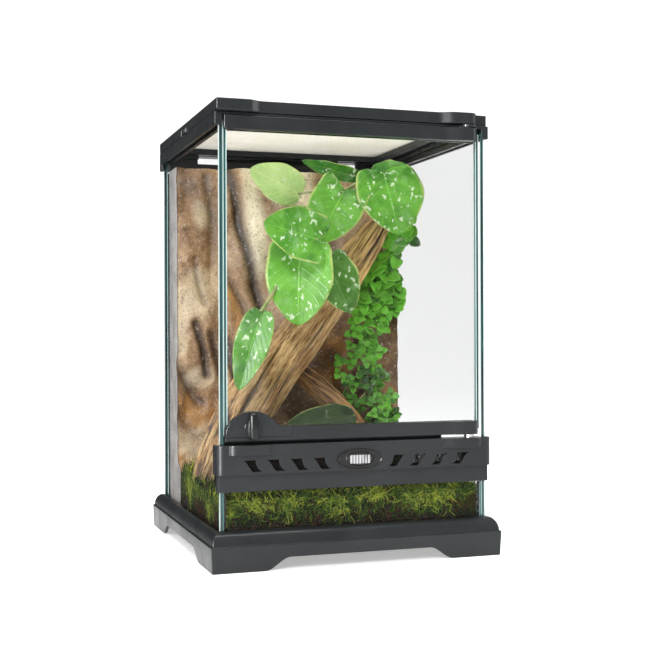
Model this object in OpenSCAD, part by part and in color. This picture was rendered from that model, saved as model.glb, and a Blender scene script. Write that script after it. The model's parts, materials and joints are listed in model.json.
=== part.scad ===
// Front-opening glass terrarium with a planted rock-and-wood interior.
// Millimetres, +Z up, +X to the right along the front, front towards -Y.
// The origin lies under the middle of the glass box, on the plane the feet stand on.

/* [Glass] */
// Outer width of the glass box, along X
glass_w = 200; // [190:1:220]
// Outer depth of the glass box, along Y
glass_d = 200; // [190:1:220]
// Thickness of every pane
glass_t = 3; // [2.5:0.1:3.5]
// How far the side panes end below the top of the frame
side_glass_drop = 4.7; // [4.2:0.1:6]
// How far the rear pane ends below the top of the frame
rear_glass_drop = 10.7; // [10.5:0.1:18]
// Top edge of the low front pane
front_glass_top = 63; // [58:1:64]
// Gap between panes, filled with sealant
pane_gap = 0.2; // [0.1:0.05:0.4]
// Leg of a sealant bead in a glass corner
bead_leg = 2.6; // [1.5:0.1:3]

/* [Base] */
// How far the base stands out beyond the glass on the left and right
base_side_out = 8.1; // [7:0.1:12]
// How far the base stands out beyond the glass at the front and rear
base_front_out = 11; // [9:0.1:14]
// Height of the upright skirt of the base
skirt_h = 17.9; // [16:0.1:22]
// Height of the whole base
base_h = 27.4; // [25:0.1:32]
// Wall thickness of the base skirt
base_wall = 3.4; // [2.5:0.1:4]
// Level of the ledge that carries the panes
ledge_z = 18; // [17:0.1:20]
// Thickness of that ledge
ledge_t = 3; // [2:0.1:4]
// Width of the ledge inside the glass
ledge_w = 12; // [8:0.5:20]
// Height of the arch cut under each side of the skirt
arch_h = 8.8; // [5:0.1:11]
// Flat length of a foot at the front and rear
foot_front = 38; // [30:1:50]
// Flat length of a foot at the left and right
foot_side = 44; // [34:1:56]
// Length of the curve from a foot up to the arch
arch_run = 18; // [12:1:24]
// Radius of a rubber foot pad
pad_r = 6; // [4:0.5:7]
// Thickness of a rubber foot pad
pad_t = 2.5; // [2:0.1:4]

/* [Front rail] */
// Underside of the front rail
rail_z = 53.7; // [50:0.1:56]
// Level where the rail steps forward
rail_step_z = 65.5; // [64.5:0.1:67]
// Top of the front rail
rail_top = 86; // [84:0.1:90]
// How far the lower tier stands in front of the glass
rail_low_out = 2.6; // [2:0.1:3.4]
// How far the upper tier stands in front of the glass
rail_out = 6; // [5:0.1:7]
// How far the rail wraps past the sides of the glass
rail_side_out = 2.8; // [2.2:0.1:4]
// Wall thickness of the rail
rail_wall = 2.2; // [1.6:0.1:2.4]
// Depth of the rail from its front edge to its rear edge at the sides
rail_return = 13; // [10:0.5:16]
// Number of vent slots on each side of the badge
vent_count = 4; // [2:1:4]
// Distance from the outer face of the glass to the outer end of the vent slots
vent_margin = 12.8; // [10:0.1:16]
// Distance from the middle to the inner end of the innermost slot
vent_start = 20.8; // [19:0.1:24]
// Width of a vent slot
vent_w = 8.5; // [6:0.1:9]
// Height of a vent slot
vent_h = 7.9; // [5:0.1:8]
// Underside of the vent slots
vent_z = 67.5; // [67:0.1:69]
// Sideways lean of a vent slot
vent_lean = 5; // [2:0.1:6]
// Half width of the badge
badge_a = 16.7; // [12:0.1:17]
// Half height of the badge
badge_b = 7.4; // [5:0.1:8]
// Width of the raised rim round the badge
bezel_w = 3; // [2:0.1:4]
// How far the badge rim stands out
bezel_out = 1.6; // [0.8:0.1:2.5]

/* [Door] */
// Underside of the door's bottom rail
door_z = 88.4; // [86.5:0.1:92]
// Height of the door's bottom and top rails
door_rail_h = 9.6; // [8:0.1:10.5]
// Gap between the door's top rail and the front flange of the frame
door_gap_top = 0.5; // [0.3:0.1:2]
// How far the door rails stand in front of the glass
door_out = 4.5; // [3.5:0.1:5]
// How far the door rails reach behind the glass
door_in = 2.5; // [2:0.1:4]
// How deep the door pane sits in its rails
door_seat = 6; // [4:0.1:6.2]
// Gap between the door pane and the side panes
door_gap = 0.4; // [0.3:0.05:1]
// Hinge axis, inwards from the outer face of the right pane
hinge_in = 13.5; // [13:0.1:16]
// Hinge axis, in front of the glass
hinge_out = 1.5; // [1:0.1:2]
// Radius of the hinge barrel at the right end of the door rails
barrel_r = 6.5; // [5.5:0.1:7]
// Radius of the hinge pins
pin_r = 2; // [1.5:0.1:2.4]
// Running clearance round the hinge pins and the latch spindle
run_gap = 0.05; // [0.02:0.01:0.09]
// Gap between the hinge collar and the door
collar_gap = 0.2; // [0.1:0.05:0.4]

/* [Latch] */
// Distance of the latch axis from the outer face of the left pane
latch_in = 22.5; // [21:0.1:24]
// Height of the latch axis above the underside of the door
latch_up = 8.6; // [8.2:0.1:9]
// Half width of the domed plate round the latch
dome_a = 19.3; // [17:0.1:19.6]
// Height of the domed plate above its lower edge
dome_h = 17.1; // [15:0.1:19]
// How far the domed plate stands in front of the glass
dome_out = 5.8; // [5.2:0.1:6]
// Length of the latch cam from its axis
cam_len = 13.8; // [13:0.1:14]
// Half width of the latch cam
cam_half = 3; // [2.4:0.1:3.2]
// Radius of the latch spindle
spindle_r = 2.6; // [2:0.1:2.8]
// Width of the finger grip
grip_w = 5.6; // [4:0.1:8]
// How far the finger grip stands in front of the glass
grip_out = 11; // [9:0.1:11]

/* [Top frame] */
// Top of the top frame
frame_top = 313.7; // [295:0.1:330]
// Height of the top frame
frame_h = 9.3; // [9.1:0.1:13]
// How far the top frame stands out beyond the glass
frame_out = 2.6; // [2.4:0.1:4]
// Width of the frame's inner wall behind the panes
frame_lip = 3.4; // [2:0.1:4]
// Distance from the outer face of the glass to the opening in the frame
frame_in = 10; // [8:0.5:14]
// Thickness of the front flange above the door
flange_t = 1.8; // [1.5:0.1:2]
// Depth of the frame's rear wall below the rest of the frame
rear_drop = 5.4; // [3:0.1:8]

/* [Lid] */
// Height of the lid
lid_h = 8.2; // [7:0.1:10]
// Gap between the lid and the top frame
lid_gap = 0.3; // [0.2:0.05:0.5]
// How far the front corners of the lid stand in front of the glass
lid_bump_out = 7.4; // [6:0.1:8]
// How far the front of the lid stands in front of the glass
lid_front_out = 2.8; // [2.4:0.1:4]
// Distance from the outer face of the glass to the screen opening
screen_in = 17; // [14:0.5:22]
// Width of the rebate that holds the screen
rebate_w = 4; // [3:0.1:5]
// Thickness of the screen
screen_t = 1.2; // [0.8:0.1:1.5]
// Number of screen openings each way
screen_n = 15; // [8:1:17]
// Thickness of a screen wire
wire_t = 1.1; // [0.8:0.1:2]
// Length of a lid lock
lock_l = 14; // [10:0.5:18]
// Travel of a lid lock
lock_travel = 8; // [6:0.5:10]
// Middle of a lid lock along Y, unlocked
lock_y = -2; // [-10:1:10]

/* [Cable inlets] */
// Clear width of a cable inlet
inlet_w = 20; // [14:1:24]
// Clear height of a cable inlet
inlet_h = 6; // [5:0.1:6]
// Distance from the middle to the inner side of an inlet
inlet_x = 52; // [46:1:58]
// How far a cable inlet stands above the underside of the frame
inlet_up = 1.2; // [0.8:0.1:1.6]

/* [Landscape] */
// Thickness of the rock wall, before its relief
rock_t = 32; // [26:1:36]
// Gap between the rock wall and the rear pane
rock_gap = 3; // [2.7:0.1:8]
// How far the rock wall ends below the top of the frame
rock_drop = 15.7; // [15.5:0.1:30]
// Relief of the rock wall
rock_relief = 9; // [4:0.5:11]
// Level of the soil
soil_top = 38; // [32:1:42]
// Mean level of the moss
moss_top = 49; // [46:0.5:50]
// Height of the mounds in the moss
moss_relief = 3; // [1:0.5:3]
// Radius of the large log near its foot
log_r = 20; // [14:0.5:22]
// Radius of the smaller branch
branch_r = 9; // [6:0.5:11]
// Gap between a rooted or leaning piece and what it meets
nature_gap = 0.2; // [0.1:0.05:0.3]
// Thickness of a leaf
leaf_t = 1; // [0.8:0.1:1.4]
// Radius of the vine's stem
stem_r = 1.7; // [1.2:0.1:2.2]
// Number of small leaves on the creeping plant
creeper_n = 54; // [20:1:60]

/* [Hidden] */
$fn = 48;
eps = 0.01;
far = 400;

gx = glass_w / 2;
gy = glass_d / 2;
in_x = gx - glass_t;
in_y = gy - glass_t;
base_x = gx + base_side_out;
base_y = gy + base_front_out;
floor_top = ledge_z + glass_t;
slot = 0.25;

frame_z = frame_top - frame_h;
side_glass_top = frame_top - side_glass_drop;
rear_glass_top = frame_top - rear_glass_drop;
door_top = frame_top - flange_t - door_gap_top;
inlet_z = frame_z + inlet_up;
vent_pitch = (gx - vent_margin - vent_start) / vent_count;

door_face = -gy - door_out;
door_back = -in_y + door_in;
hinge_x = gx - hinge_in;
hinge_y = -gy - hinge_out;
latch_x = -gx + latch_in;
latch_z = door_z + latch_up;
door_left = -in_x + door_gap;
door_right = in_x - 1.5;
pane_foot = door_z + door_rail_h - door_seat;
pane_head = door_top - door_rail_h + door_seat;
cam_back = -gy - 1.4;
cam_t = 1.8;
cam_r = 4.2;
cam_front = cam_back - cam_t;
dome_face = -gy - dome_out;

lid_z = frame_top + lid_gap;
lid_top = lid_z + lid_h;
screen_z = lid_z + 3;
open_x = gx - frame_in;
open_y = gy - frame_in;

plastic = [0.25, 0.265, 0.275];
rubber = [0.08, 0.08, 0.08];
glass = [0.75, 0.88, 0.87, 0.35];

// ---------- helpers ----------
function smooth(t) = t * t * (3 - 2 * t);
function unit(v) = v / norm(v);
function mix(a, b, t) = a + (b - a) * t;
// S-shaped stretch of an outline from a to b, level at both ends
function s_curve(a, b, n = 8) =
    [for (i = [0:n]) [mix(a[0], b[0], i / n), mix(a[1], b[1], smooth(i / n))]];
// Arc of an outline
function arc(c, r, from, to, n = 8) =
    [for (i = [0:n]) let (t = mix(from, to, i / n)) [c[0] + r * cos(t), c[1] + r * sin(t)]];

module box(lo, hi) {
    translate(lo) cube(hi - lo);
}

// Box given for the left side (x < 0), repeated on the right
module box_pair(lo, hi) {
    box(lo, hi);
    mirror([1, 0, 0]) box(lo, hi);
}

// Outline in X and Z, standing between two Y values
module upright(y0, y1) {
    translate([0, y1, 0]) rotate([90, 0, 0]) linear_extrude(y1 - y0) children();
}

// Outline in Y and Z, lying between two X values
module sideways(x0, x1) {
    translate([x0, 0, 0]) rotate([90, 0, 90]) linear_extrude(x1 - x0) children();
}

// Closed plate between a grid of upper points and a grid of lower points
module grid_plate(upper, lower, rows, cols) {
    n = rows * cols;
    function at(r, c) = r * cols + c;
    top_faces = [for (r = [0:rows - 2], c = [0:cols - 2])
        each [[at(r, c), at(r + 1, c), at(r + 1, c + 1)],
            [at(r, c), at(r + 1, c + 1), at(r, c + 1)]]];
    low_faces = [for (f = top_faces) [f[2] + n, f[1] + n, f[0] + n]];
    rim = concat(
        [for (c = [0:cols - 2]) at(0, c)], [for (r = [0:rows - 2]) at(r, cols - 1)],
        [for (c = [cols - 1:-1:1]) at(rows - 1, c)], [for (r = [rows - 1:-1:1]) at(r, 0)]);
    m = len(rim);
    rim_faces = [for (i = [0:m - 1]) let (a = rim[i], b = rim[(i + 1) % m])
        each [[a, b, b + n], [a, b + n, a + n]]];
    polyhedron(concat(upper, lower), concat(top_faces, low_faces, rim_faces), 4);
}

// Tube through a list of points, with its own radius at each point and a lumpy skin
module limb(path, radii, sides, lump = 0) {
    n = len(path);
    function along(i) = unit(path[min(i + 1, n - 1)] - path[max(i - 1, 0)]);
    function skin(a, i) = 1 + lump * (sin(3 * a + i * 47) + 0.6 * sin(5 * a - i * 31));
    points = [for (i = [0:n - 1]) let (t = along(i), u = unit(cross(t, [0.05, 1, 0.02])), v = cross(t, u))
        each [for (j = [0:sides - 1]) let (a = j * 360 / sides)
            path[i] + radii[i] * skin(a, i) * (cos(a) * u + sin(a) * v)]];
    ends = [path[0], path[n - 1]];
    skin_faces = [for (i = [0:n - 2], j = [0:sides - 1]) let (k = (j + 1) % sides,
        a = i * sides + j, b = i * sides + k, c = (i + 1) * sides + k, d = (i + 1) * sides + j)
        each [[a, d, c], [a, c, b]]];
    first = n * sides;
    cap_faces = [for (j = [0:sides - 1]) let (k = (j + 1) % sides)
        each [[first, j, k], [first + 1, (n - 1) * sides + k, (n - 1) * sides + j]]];
    polyhedron(concat(points, ends), concat(skin_faces, cap_faces), 4);
}

// Pointed leaf from base to tip, facing n, with a folded middle and a drooping tip
module leaf(base, tip, n, w, rows = 8, fold = 0.16, droop = 0.1) {
    len = norm(tip - base);
    d = unit(tip - base);
    s = unit(cross(n, d));
    up = cross(d, s);
    function half(t) = max(0.35 * leaf_t, w / 2 * pow(sin(180 * pow(t, 0.7)), 0.62));
    function skin(r, c, low) = let (t = r / (rows - 1), q = (1 - c) * half(t))
        base + d * len * t + s * q + up * (abs(q) * fold - droop * len * t * t - low);
    upper = [for (r = [0:rows - 1], c = [0:2]) skin(r, c, 0)];
    lower = [for (r = [0:rows - 1], c = [0:2]) skin(r, c, leaf_t)];
    grid_plate(upper, lower, rows, 3);
}

// ---------- base ----------
base_taper = 0.8;
base_step = 1.2;
pad_edge = 2;
web = 3;
pad_x = base_x - base_wall - pad_r - pad_edge;
pad_y = base_y - base_wall - pad_r - pad_edge;

// Outline of one side of the base: skirt, then a rounded shoulder up to the glass
function base_outline(half, shoulder) = let (run = half - base_step - shoulder, rise = base_h - skirt_h,
    edge = [for (a = [0:15:90]) [half - base_step - run * (1 - cos(a)), skirt_h + rise * sin(a)]])
    concat([[-half + base_taper, 0], [half - base_taper, 0], [half, skirt_h]], edge,
        [for (i = [len(edge) - 1:-1:0]) [-edge[i][0], edge[i][1]]], [[-half, skirt_h]]);

// Arch under one side of the skirt
function arch_outline(half, foot) = let (outer = half - foot, inner = outer - arch_run)
    concat([[-outer - 4, -1]], s_curve([-outer, -eps], [-inner, arch_h]),
        s_curve([inner, arch_h], [outer, -eps]), [[outer + 4, -1]]);

module base_plinth() {
    hollow_x = base_x - base_wall;
    hollow_y = base_y - base_wall;
    color(plastic) difference() {
        intersection() {
            upright(-base_y - 1, base_y + 1) polygon(base_outline(base_x, gx + base_step));
            sideways(-base_x - 1, base_x + 1) polygon(base_outline(base_y, gy + base_step));
        }
        // hollow under the ledge, leaving a web in each corner for the foot pads
        difference() {
            box([-hollow_x, -hollow_y, -1], [hollow_x, hollow_y, ledge_z - ledge_t]);
            for (sx = [-1, 1], sy = [-1, 1]) translate([sx * pad_x, sy * pad_y, pad_t])
                box([-pad_r - web, -pad_r - web, 0], [pad_r + web, pad_r + web, web]);
        }
        box([-gx + ledge_w, -gy + ledge_w, ledge_z - ledge_t - 1],
            [gx - ledge_w, gy - ledge_w, ledge_z + 1]);
        box([-gx - slot, -gy - slot, ledge_z], [gx + slot, gy + slot, base_h + 1]);
        upright(-base_y - 2, base_y + 2) polygon(arch_outline(base_x, foot_front));
        sideways(-base_x - 2, base_x + 2) polygon(arch_outline(base_y, foot_side));
    }
}

module rubber_feet() {
    color(rubber) for (sx = [-1, 1], sy = [-1, 1])
        translate([sx * pad_x, sy * pad_y, 0]) cylinder(h = pad_t, r = pad_r);
}

// ---------- panes ----------
module bottom_pane() {
    color(glass)
        box([-in_x + pane_gap, -in_y + pane_gap, ledge_z], [in_x - pane_gap, in_y - pane_gap, floor_top]);
}

module left_pane() {
    color(glass) box([-gx, -gy, ledge_z], [-in_x, gy, side_glass_top]);
}

module right_pane() {
    color(glass) box([in_x, -gy, ledge_z], [gx, gy, side_glass_top]);
}

module rear_pane() {
    color(glass) box([-in_x + pane_gap, in_y, ledge_z], [in_x - pane_gap, gy, rear_glass_top]);
}

module front_pane() {
    color(glass) box([-in_x + pane_gap, -gy, ledge_z], [in_x - pane_gap, -in_y, front_glass_top]);
}

// Sealant bead outline in a corner, its legs along the two panes
module bead_outline() {
    polygon([[-in_x, -in_y], [-in_x + bead_leg, -in_y], [-in_x, -in_y + bead_leg]]);
}

module sealant_beads() {
    color(rubber) for (m = [0, 1]) mirror([m, 0, 0]) {
        translate([0, 0, floor_top]) linear_extrude(rail_z - floor_top - 1) bead_outline();
        translate([0, 0, floor_top]) mirror([0, 1, 0])
            linear_extrude(rear_glass_top - rear_drop - floor_top - 1) bead_outline();
    }
}

// ---------- front rail ----------
bump_out = 8.6;
bump_r = 7;
bump_z = rail_top - 7;
stop_y = door_back + 0.3;
stop_t = 1.2;
stop_end = hinge_x - 18.5;
left_bump = [-gx + 4.2, -gx + 34];
right_bump = [gx - 38, gx - 4];

module rail_plan(front, side, r) {
    translate([-gx - side + r, -gy - front]) square([2 * (gx + side - r), rail_return]);
    translate([-gx - side, -gy - front + r]) square([2 * (gx + side), rail_return - r]);
    for (sx = [-1, 1]) translate([sx * (gx + side - r), -gy - front + r]) circle(r);
}

// Proud stretches of the rail: the left one ends square, the right one rises out of the rail
module bump_plan() {
    round_y = -gy - bump_out + bump_r;
    left_round = left_bump[0] + bump_r;
    right_round = right_bump[1] - bump_r;
    translate([left_round, -gy - bump_out]) square([left_bump[1] - left_round, bump_out - 2]);
    translate([left_round, round_y]) circle(bump_r);
    translate([right_round, round_y]) circle(bump_r);
    polygon(concat([[right_round, -gy - 2], [right_bump[0], -gy - 2]],
        s_curve([right_bump[0], -gy - rail_out], [right_bump[0] + 12, -gy - bump_out]),
        [[right_round, -gy - bump_out]]));
}

module vent_outline() {
    polygon(concat(
        [[0, vent_h], [vent_w, vent_h]],
        [for (a = [15:15:90]) [vent_w + 0.9 * vent_lean * (1 - cos(a)), vent_h * (1 - 0.95 * sin(a))]],
        [[vent_lean + 2.2, 0]],
        [for (i = [1:5]) [(vent_lean + 2.2) * (1 - i / 6), vent_h * smooth(i / 6)]]));
}

module front_rail() {
    front = -gy - rail_out;
    back = -in_y + 0.3;
    color(plastic) difference() {
        union() {
            translate([0, 0, rail_step_z]) linear_extrude(rail_top - rail_step_z)
                rail_plan(rail_out, rail_side_out, 5);
            box([-gx - 1, -gy - rail_low_out, rail_z], [gx + 1, -gy - rail_out + rail_return, rail_step_z]);
            translate([0, 0, bump_z]) linear_extrude(rail_top - bump_z) bump_plan();
        }
        // hollow over the front pane
        difference() {
            union() {
                box([-in_x, -gy - slot, rail_z - 1], [in_x, back, rail_step_z + 1]);
                box([-in_x, front + rail_wall, rail_step_z], [in_x, back, rail_top - rail_wall]);
            }
            // boss round the foot of the lower hinge pin
            translate([hinge_x, hinge_y, pin_foot - 1.5])
                cylinder(h = rail_top - pin_foot, r = pin_r + 2.4);
        }
        // space behind the rear wall, and slots for the side panes
        box([-in_x, back + rail_wall, rail_z - 1], [in_x, -gy + rail_return, rail_top + 1]);
        box_pair([-gx - slot, -gy - slot, rail_z - 1], [-in_x + slot, -gy + rail_return, rail_top + 1]);
        // air way through the rear wall
        box([-in_x + 14, back - 1, vent_z + 1], [in_x - 14, back + rail_wall + 1, vent_z + vent_h + 3]);
        for (m = [0, 1], i = [0:vent_count - 1]) mirror([m, 0, 0])
            translate([-vent_start - vent_w - vent_lean - i * vent_pitch, 0, vent_z])
                upright(front - 1, front + rail_wall + 1) vent_outline();
        // seat of the badge
        upright(front - 1, front + 0.8) badge_oval(-0.8);
        // slot for the latch cam, and the blind hole of the lower hinge pin
        box([latch_x - cam_half - 0.8, cam_front - 0.4, rail_top - rail_wall - 1.5],
            [latch_x + cam_len - 3.5, cam_back + 0.6, rail_top + 1]);
        translate([hinge_x, hinge_y, pin_foot]) cylinder(h = far, r = pin_r + run_gap);
    }
    // stop behind the door's lower edge, carried by a web on the rear wall
    color(plastic) {
        box([-in_x + 1, -in_y + 1, rail_top - 1.8], [stop_end, stop_y + stop_t, rail_top]);
        box([-in_x + 1, stop_y, rail_top - 1.8], [stop_end, stop_y + stop_t, door_z + 1.6]);
    }
}

module vent_screens() {
    y = -gy - rail_out + rail_wall;
    n = 16;
    lo = vent_start - 2;
    hi = vent_start + vent_count * vent_pitch + 1;
    pitch = (hi - lo - 1) / n;
    color([0.12, 0.12, 0.12]) for (m = [0, 1]) mirror([m, 0, 0]) upright(y, y + 0.5) difference() {
        translate([-hi, vent_z - 1]) square([hi - lo, vent_h + 2]);
        for (i = [0:n - 1], j = [0:1])
            translate([-hi + 1 + i * pitch, vent_z + j * (vent_h / 2 + 0.2)])
                square([pitch - 1, vent_h / 2 - 0.6]);
    }
}

badge_z = 73.6;
window_a = badge_a - 6.8;

module oval(a, b) {
    translate([0, badge_z]) scale([a / b, 1]) circle(b);
}

module badge_oval(grow) {
    oval(badge_a + grow, badge_b + grow);
}

// Window of the rim, where the plate shows
module badge_window(grow) {
    oval(window_a + grow, badge_b - bezel_w + grow);
}

module badge_rim() {
    front = -gy - rail_out;
    color([0.2, 0.21, 0.22]) difference() {
        union() {
            upright(front - bezel_out, front) badge_oval(0);
            upright(front - eps, front + 0.7) badge_oval(-1);
        }
        // dished face with a raised outer ring, then the window
        upright(front - bezel_out - 1, front - bezel_out + 0.5) difference() {
            badge_oval(-1);
            badge_window(0.8);
        }
        upright(front - bezel_out - 1, front - 0.3) badge_window(0);
    }
}

// Plain raised upright ribs inside the rim
module badge_plate() {
    front = -gy - rail_out;
    ribs = 7;
    rib_pitch = 2.2;
    color([0.75, 0.76, 0.77]) intersection() {
        upright(front - bezel_out, front - 0.3) badge_window(-0.15);
        union() {
            box([-window_a, front - 0.7, 0], [window_a, front - 0.3, far]);
            for (i = [0:ribs - 1]) translate([(i - (ribs - 1) / 2) * rib_pitch, 0, 0])
                box([-0.7, front - 1.3, badge_z - 3], [0.7, front - 0.5, badge_z + 3]);
        }
    }
}

// ---------- top frame ----------
out_x = gx + frame_out;
out_y = gy + frame_out + 0.4;
head_r = pin_r + 1.2;
head_t = 0.9;
lock_x = [-gx - 1.6, -gx + 0.4];
lock_foot = 6;

// Entry for a lock's foot, then a slot that its wider lower part can't leave
module lock_pocket() {
    y0 = lock_y - lock_foot / 2 - 0.4;
    y1 = lock_y + lock_foot / 2 + 0.4;
    pocket_z = side_glass_top + 0.9;
    box([lock_x[0], y0, pocket_z], [lock_x[1], y1 + lock_travel, frame_top - 1.4]);
    box([lock_x[0], y0, pocket_z], [lock_x[1], y1, frame_top + 1]);
    box([lock_x[0] + 0.5, y0, pocket_z], [lock_x[1] - 0.5, y1 + lock_travel, frame_top + 1]);
}

inlet_y = gy + 0.4;
shutter_t = 1.4;
shutter_w = inlet_w + 2;

module top_frame() {
    rear_low = frame_z - rear_drop;
    color(plastic) difference() {
        union() {
            difference() {
                union() {
                    box([-out_x, -gy - 2, frame_z], [out_x, out_y, frame_top]);
                    box([-out_x, in_y - frame_lip, rear_low], [out_x, out_y, frame_z + 1]);
                }
                // room for the door below the front flange
                box([-in_x - slot, -gy - 3, frame_z - 1], [in_x + slot, -open_y + 1, frame_top - flange_t]);
                // inside of the frame below its inner ledge
                box([-in_x + frame_lip, -in_y + door_in, rear_low - 1],
                    [in_x - frame_lip, in_y - frame_lip, frame_z + 4.6]);
                // rear drop stays clear of the side panes' outer faces
                box_pair([-out_x - 1, in_y - frame_lip - 1, rear_low - 1], [-gx + slot, gy - 6, frame_z]);
            }
            // lug over the hinge
            translate([hinge_x, hinge_y, frame_top - flange_t]) cylinder(h = flange_t, r = barrel_r);
        }
        box([-open_x, -open_y, rear_low - 1], [open_x, open_y, frame_top + 1]);
        // channels for the panes
        box_pair([-gx - slot, -gy - slot, 0], [-in_x + slot, gy + slot, side_glass_top + slot]);
        box([-in_x, in_y - slot, 0], [in_x, gy + slot, rear_glass_top + slot]);
        // hinge pin hole with a seat for its head
        translate([hinge_x, hinge_y, frame_top - 3]) cylinder(h = 4, r = pin_r + run_gap);
        translate([hinge_x, hinge_y, frame_top - head_t]) cylinder(h = 2, r = head_r + 0.1);
        lock_pocket();
        mirror([1, 0, 0]) lock_pocket();
        for (m = [0, 1]) mirror([m, 0, 0]) {
            box([inlet_x, open_y - 1, inlet_z], [inlet_x + inlet_w, gy + far, inlet_z + inlet_h]);
            // pocket of the shutter, then the way for its thumb nib
            box([inlet_x - shutter_w - 2, inlet_y, inlet_z - 1],
                [inlet_x + inlet_w + 2, inlet_y + shutter_t + 0.2, inlet_z + inlet_h + 1]);
            box([inlet_x - shutter_w / 2 - 4, inlet_y, inlet_z + 1.5],
                [inlet_x + 1, gy + far, inlet_z + inlet_h - 1.5]);
        }
    }
}

// ---------- hinge pins ----------
pin_foot = rail_top - 7.5;

module lower_hinge_pin() {
    color([0.7, 0.71, 0.73]) translate([hinge_x, hinge_y, 0]) {
        translate([0, 0, pin_foot]) cylinder(h = pane_foot - 0.5 - pin_foot, r = pin_r);
        translate([0, 0, rail_top]) cylinder(h = door_z - collar_gap - rail_top, r = pin_r + 1.6);
    }
}

module upper_hinge_pin() {
    color([0.7, 0.71, 0.73]) translate([hinge_x, hinge_y, 0]) {
        translate([0, 0, pane_head + 0.7])
            cylinder(h = frame_top - head_t - pane_head - 0.7 + eps, r = pin_r);
        translate([0, 0, frame_top - head_t]) cylinder(h = head_t - 0.1, r = head_r);
    }
}

// ---------- door ----------
// Plan of a door rail, with the hinge barrel at its right end
module door_plan() {
    blend_x = hinge_x - 22;
    polygon(concat([[door_left, door_back], [door_left, door_face]],
        s_curve([blend_x, door_face], [hinge_x - 4, hinge_y - barrel_r]),
        [[hinge_x, hinge_y - barrel_r], [hinge_x, door_back]]));
    translate([hinge_x, hinge_y]) circle(barrel_r);
    translate([hinge_x, hinge_y]) square([barrel_r - 1, door_back - hinge_y]);
}

module pane_channel(z0, z1) {
    box([door_left - 1, -gy - 0.15, z0], [door_right + 0.2, -in_y + 0.15, z1]);
}

module door_pane() {
    color(glass) box([door_left, -gy, pane_foot], [door_right, -in_y, pane_head]);
}

module door_top_rail() {
    color(plastic) difference() {
        translate([0, 0, door_top - door_rail_h]) linear_extrude(door_rail_h) door_plan();
        pane_channel(door_top - door_rail_h - 1, pane_head);
        translate([hinge_x, hinge_y, pane_head + 0.2]) cylinder(h = far, r = pin_r + run_gap);
    }
}

// Face of the domed plate round the latch, falling to the rail on its right
function dome_outline() = let (low = door_z + 3) concat(
    [[latch_x - dome_a, low]],
    [for (a = [180:-10:30]) [latch_x + dome_a * cos(a), low + 0.4 + dome_h * sin(a)]],
    s_curve([latch_x + dome_a * 0.93, low + dome_h * 0.46],
        [latch_x + dome_a + 9, door_z + door_rail_h - 0.2], 4),
    [[latch_x + dome_a + 9, low]]);

module door_bottom_rail() {
    pocket_r = cam_len + 0.5;
    color(plastic) difference() {
        union() {
            translate([0, 0, door_z]) linear_extrude(door_rail_h) door_plan();
            upright(dome_face, -gy - 0.3) polygon(dome_outline());
        }
        pane_channel(pane_foot, door_z + door_rail_h + 1);
        translate([hinge_x, hinge_y, door_z - 1])
            cylinder(h = pane_foot - 0.2 - door_z + 1, r = pin_r + run_gap);
        // room for the cam to turn from level to upright
        intersection() {
            translate([latch_x, cam_front - 0.2, latch_z]) rotate([-90, 0, 0])
                cylinder(h = far, r = pocket_r);
            box([latch_x - cam_half - 0.6, cam_front - 0.2, 0], [far, -gy, latch_z + cam_half + 0.6]);
        }
        translate([latch_x, cam_front - 0.2, latch_z]) rotate([-90, 0, 0])
            cylinder(h = -gy - cam_front + 0.2, r = cam_r + 0.4);
        translate([latch_x, dome_face - 1, latch_z]) rotate([-90, 0, 0])
            cylinder(h = 5, r = spindle_r + run_gap);
    }
}

module latch_knob() {
    hub_face = dome_face - 0.3;
    grip_low = latch_z - 7.4;
    grip_high = latch_z + 11.2;
    tip = -gy - grip_out;
    color([0.2, 0.21, 0.22]) difference() {
        union() {
            sideways(latch_x - grip_w / 2, latch_x + grip_w / 2)
                polygon(concat([[hub_face, grip_low]], arc([tip + 1.5, grip_low + 1.5], 1.5, -90, -180, 4),
                    arc([tip + 3, grip_high - 3], 3, 180, 100, 4), [[hub_face, grip_high]]));
            translate([latch_x, hub_face, latch_z]) rotate([90, 0, 0]) cylinder(h = 1.2, r = 6.4);
            translate([latch_x, hub_face - 1, latch_z]) rotate([-90, 0, 0])
                cylinder(h = cam_back - hub_face + 1, r = spindle_r);
        }
        translate([latch_x, cam_back + 1, latch_z]) rotate([90, 0, 0]) cylinder(h = 5, r = 1.1);
    }
}

module latch_cam() {
    color([0.15, 0.15, 0.16]) translate([latch_x, cam_front, latch_z]) rotate([-90, 0, 0]) difference() {
        union() {
            cylinder(h = cam_t, r = cam_r);
            translate([0, -cam_half, 0]) cube([cam_len - cam_half, 2 * cam_half, cam_t]);
            translate([cam_len - cam_half, 0, 0]) cylinder(h = cam_t, r = cam_half);
        }
        translate([0, 0, -1]) cylinder(h = cam_t + 2, r = spindle_r + run_gap);
    }
}

module latch_screw() {
    color([0.7, 0.71, 0.73]) translate([latch_x, cam_back, latch_z]) rotate([-90, 0, 0]) difference() {
        union() {
            cylinder(h = 0.9, r = spindle_r + 0.9);
            translate([0, 0, -3.6]) cylinder(h = 3.6 + eps, r = 1.05);
        }
        translate([-2, -0.35, 0.45]) cube([4, 0.7, 1]);
    }
}

// ---------- lid ----------
// Plan of the lid: proud front corners, the right one ending before the frame's corner
module lid_plan() {
    front = -gy - lid_front_out;
    bump = -gy - lid_bump_out;
    right_end = gx - 8;
    end_r = 5;
    polygon(concat(
        [[-out_x, out_y], [-out_x, bump], [-gx + 19, bump]],
        s_curve([-gx + 19.5, bump], [-gx + 31, front]),
        s_curve([right_end - 30, front], [right_end - 18, bump]),
        arc([right_end - end_r, bump + end_r], end_r, -90, 0, 6),
        [[right_end, -gy + 1], [out_x, -gy + 1], [out_x, out_y]]));
}

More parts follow.
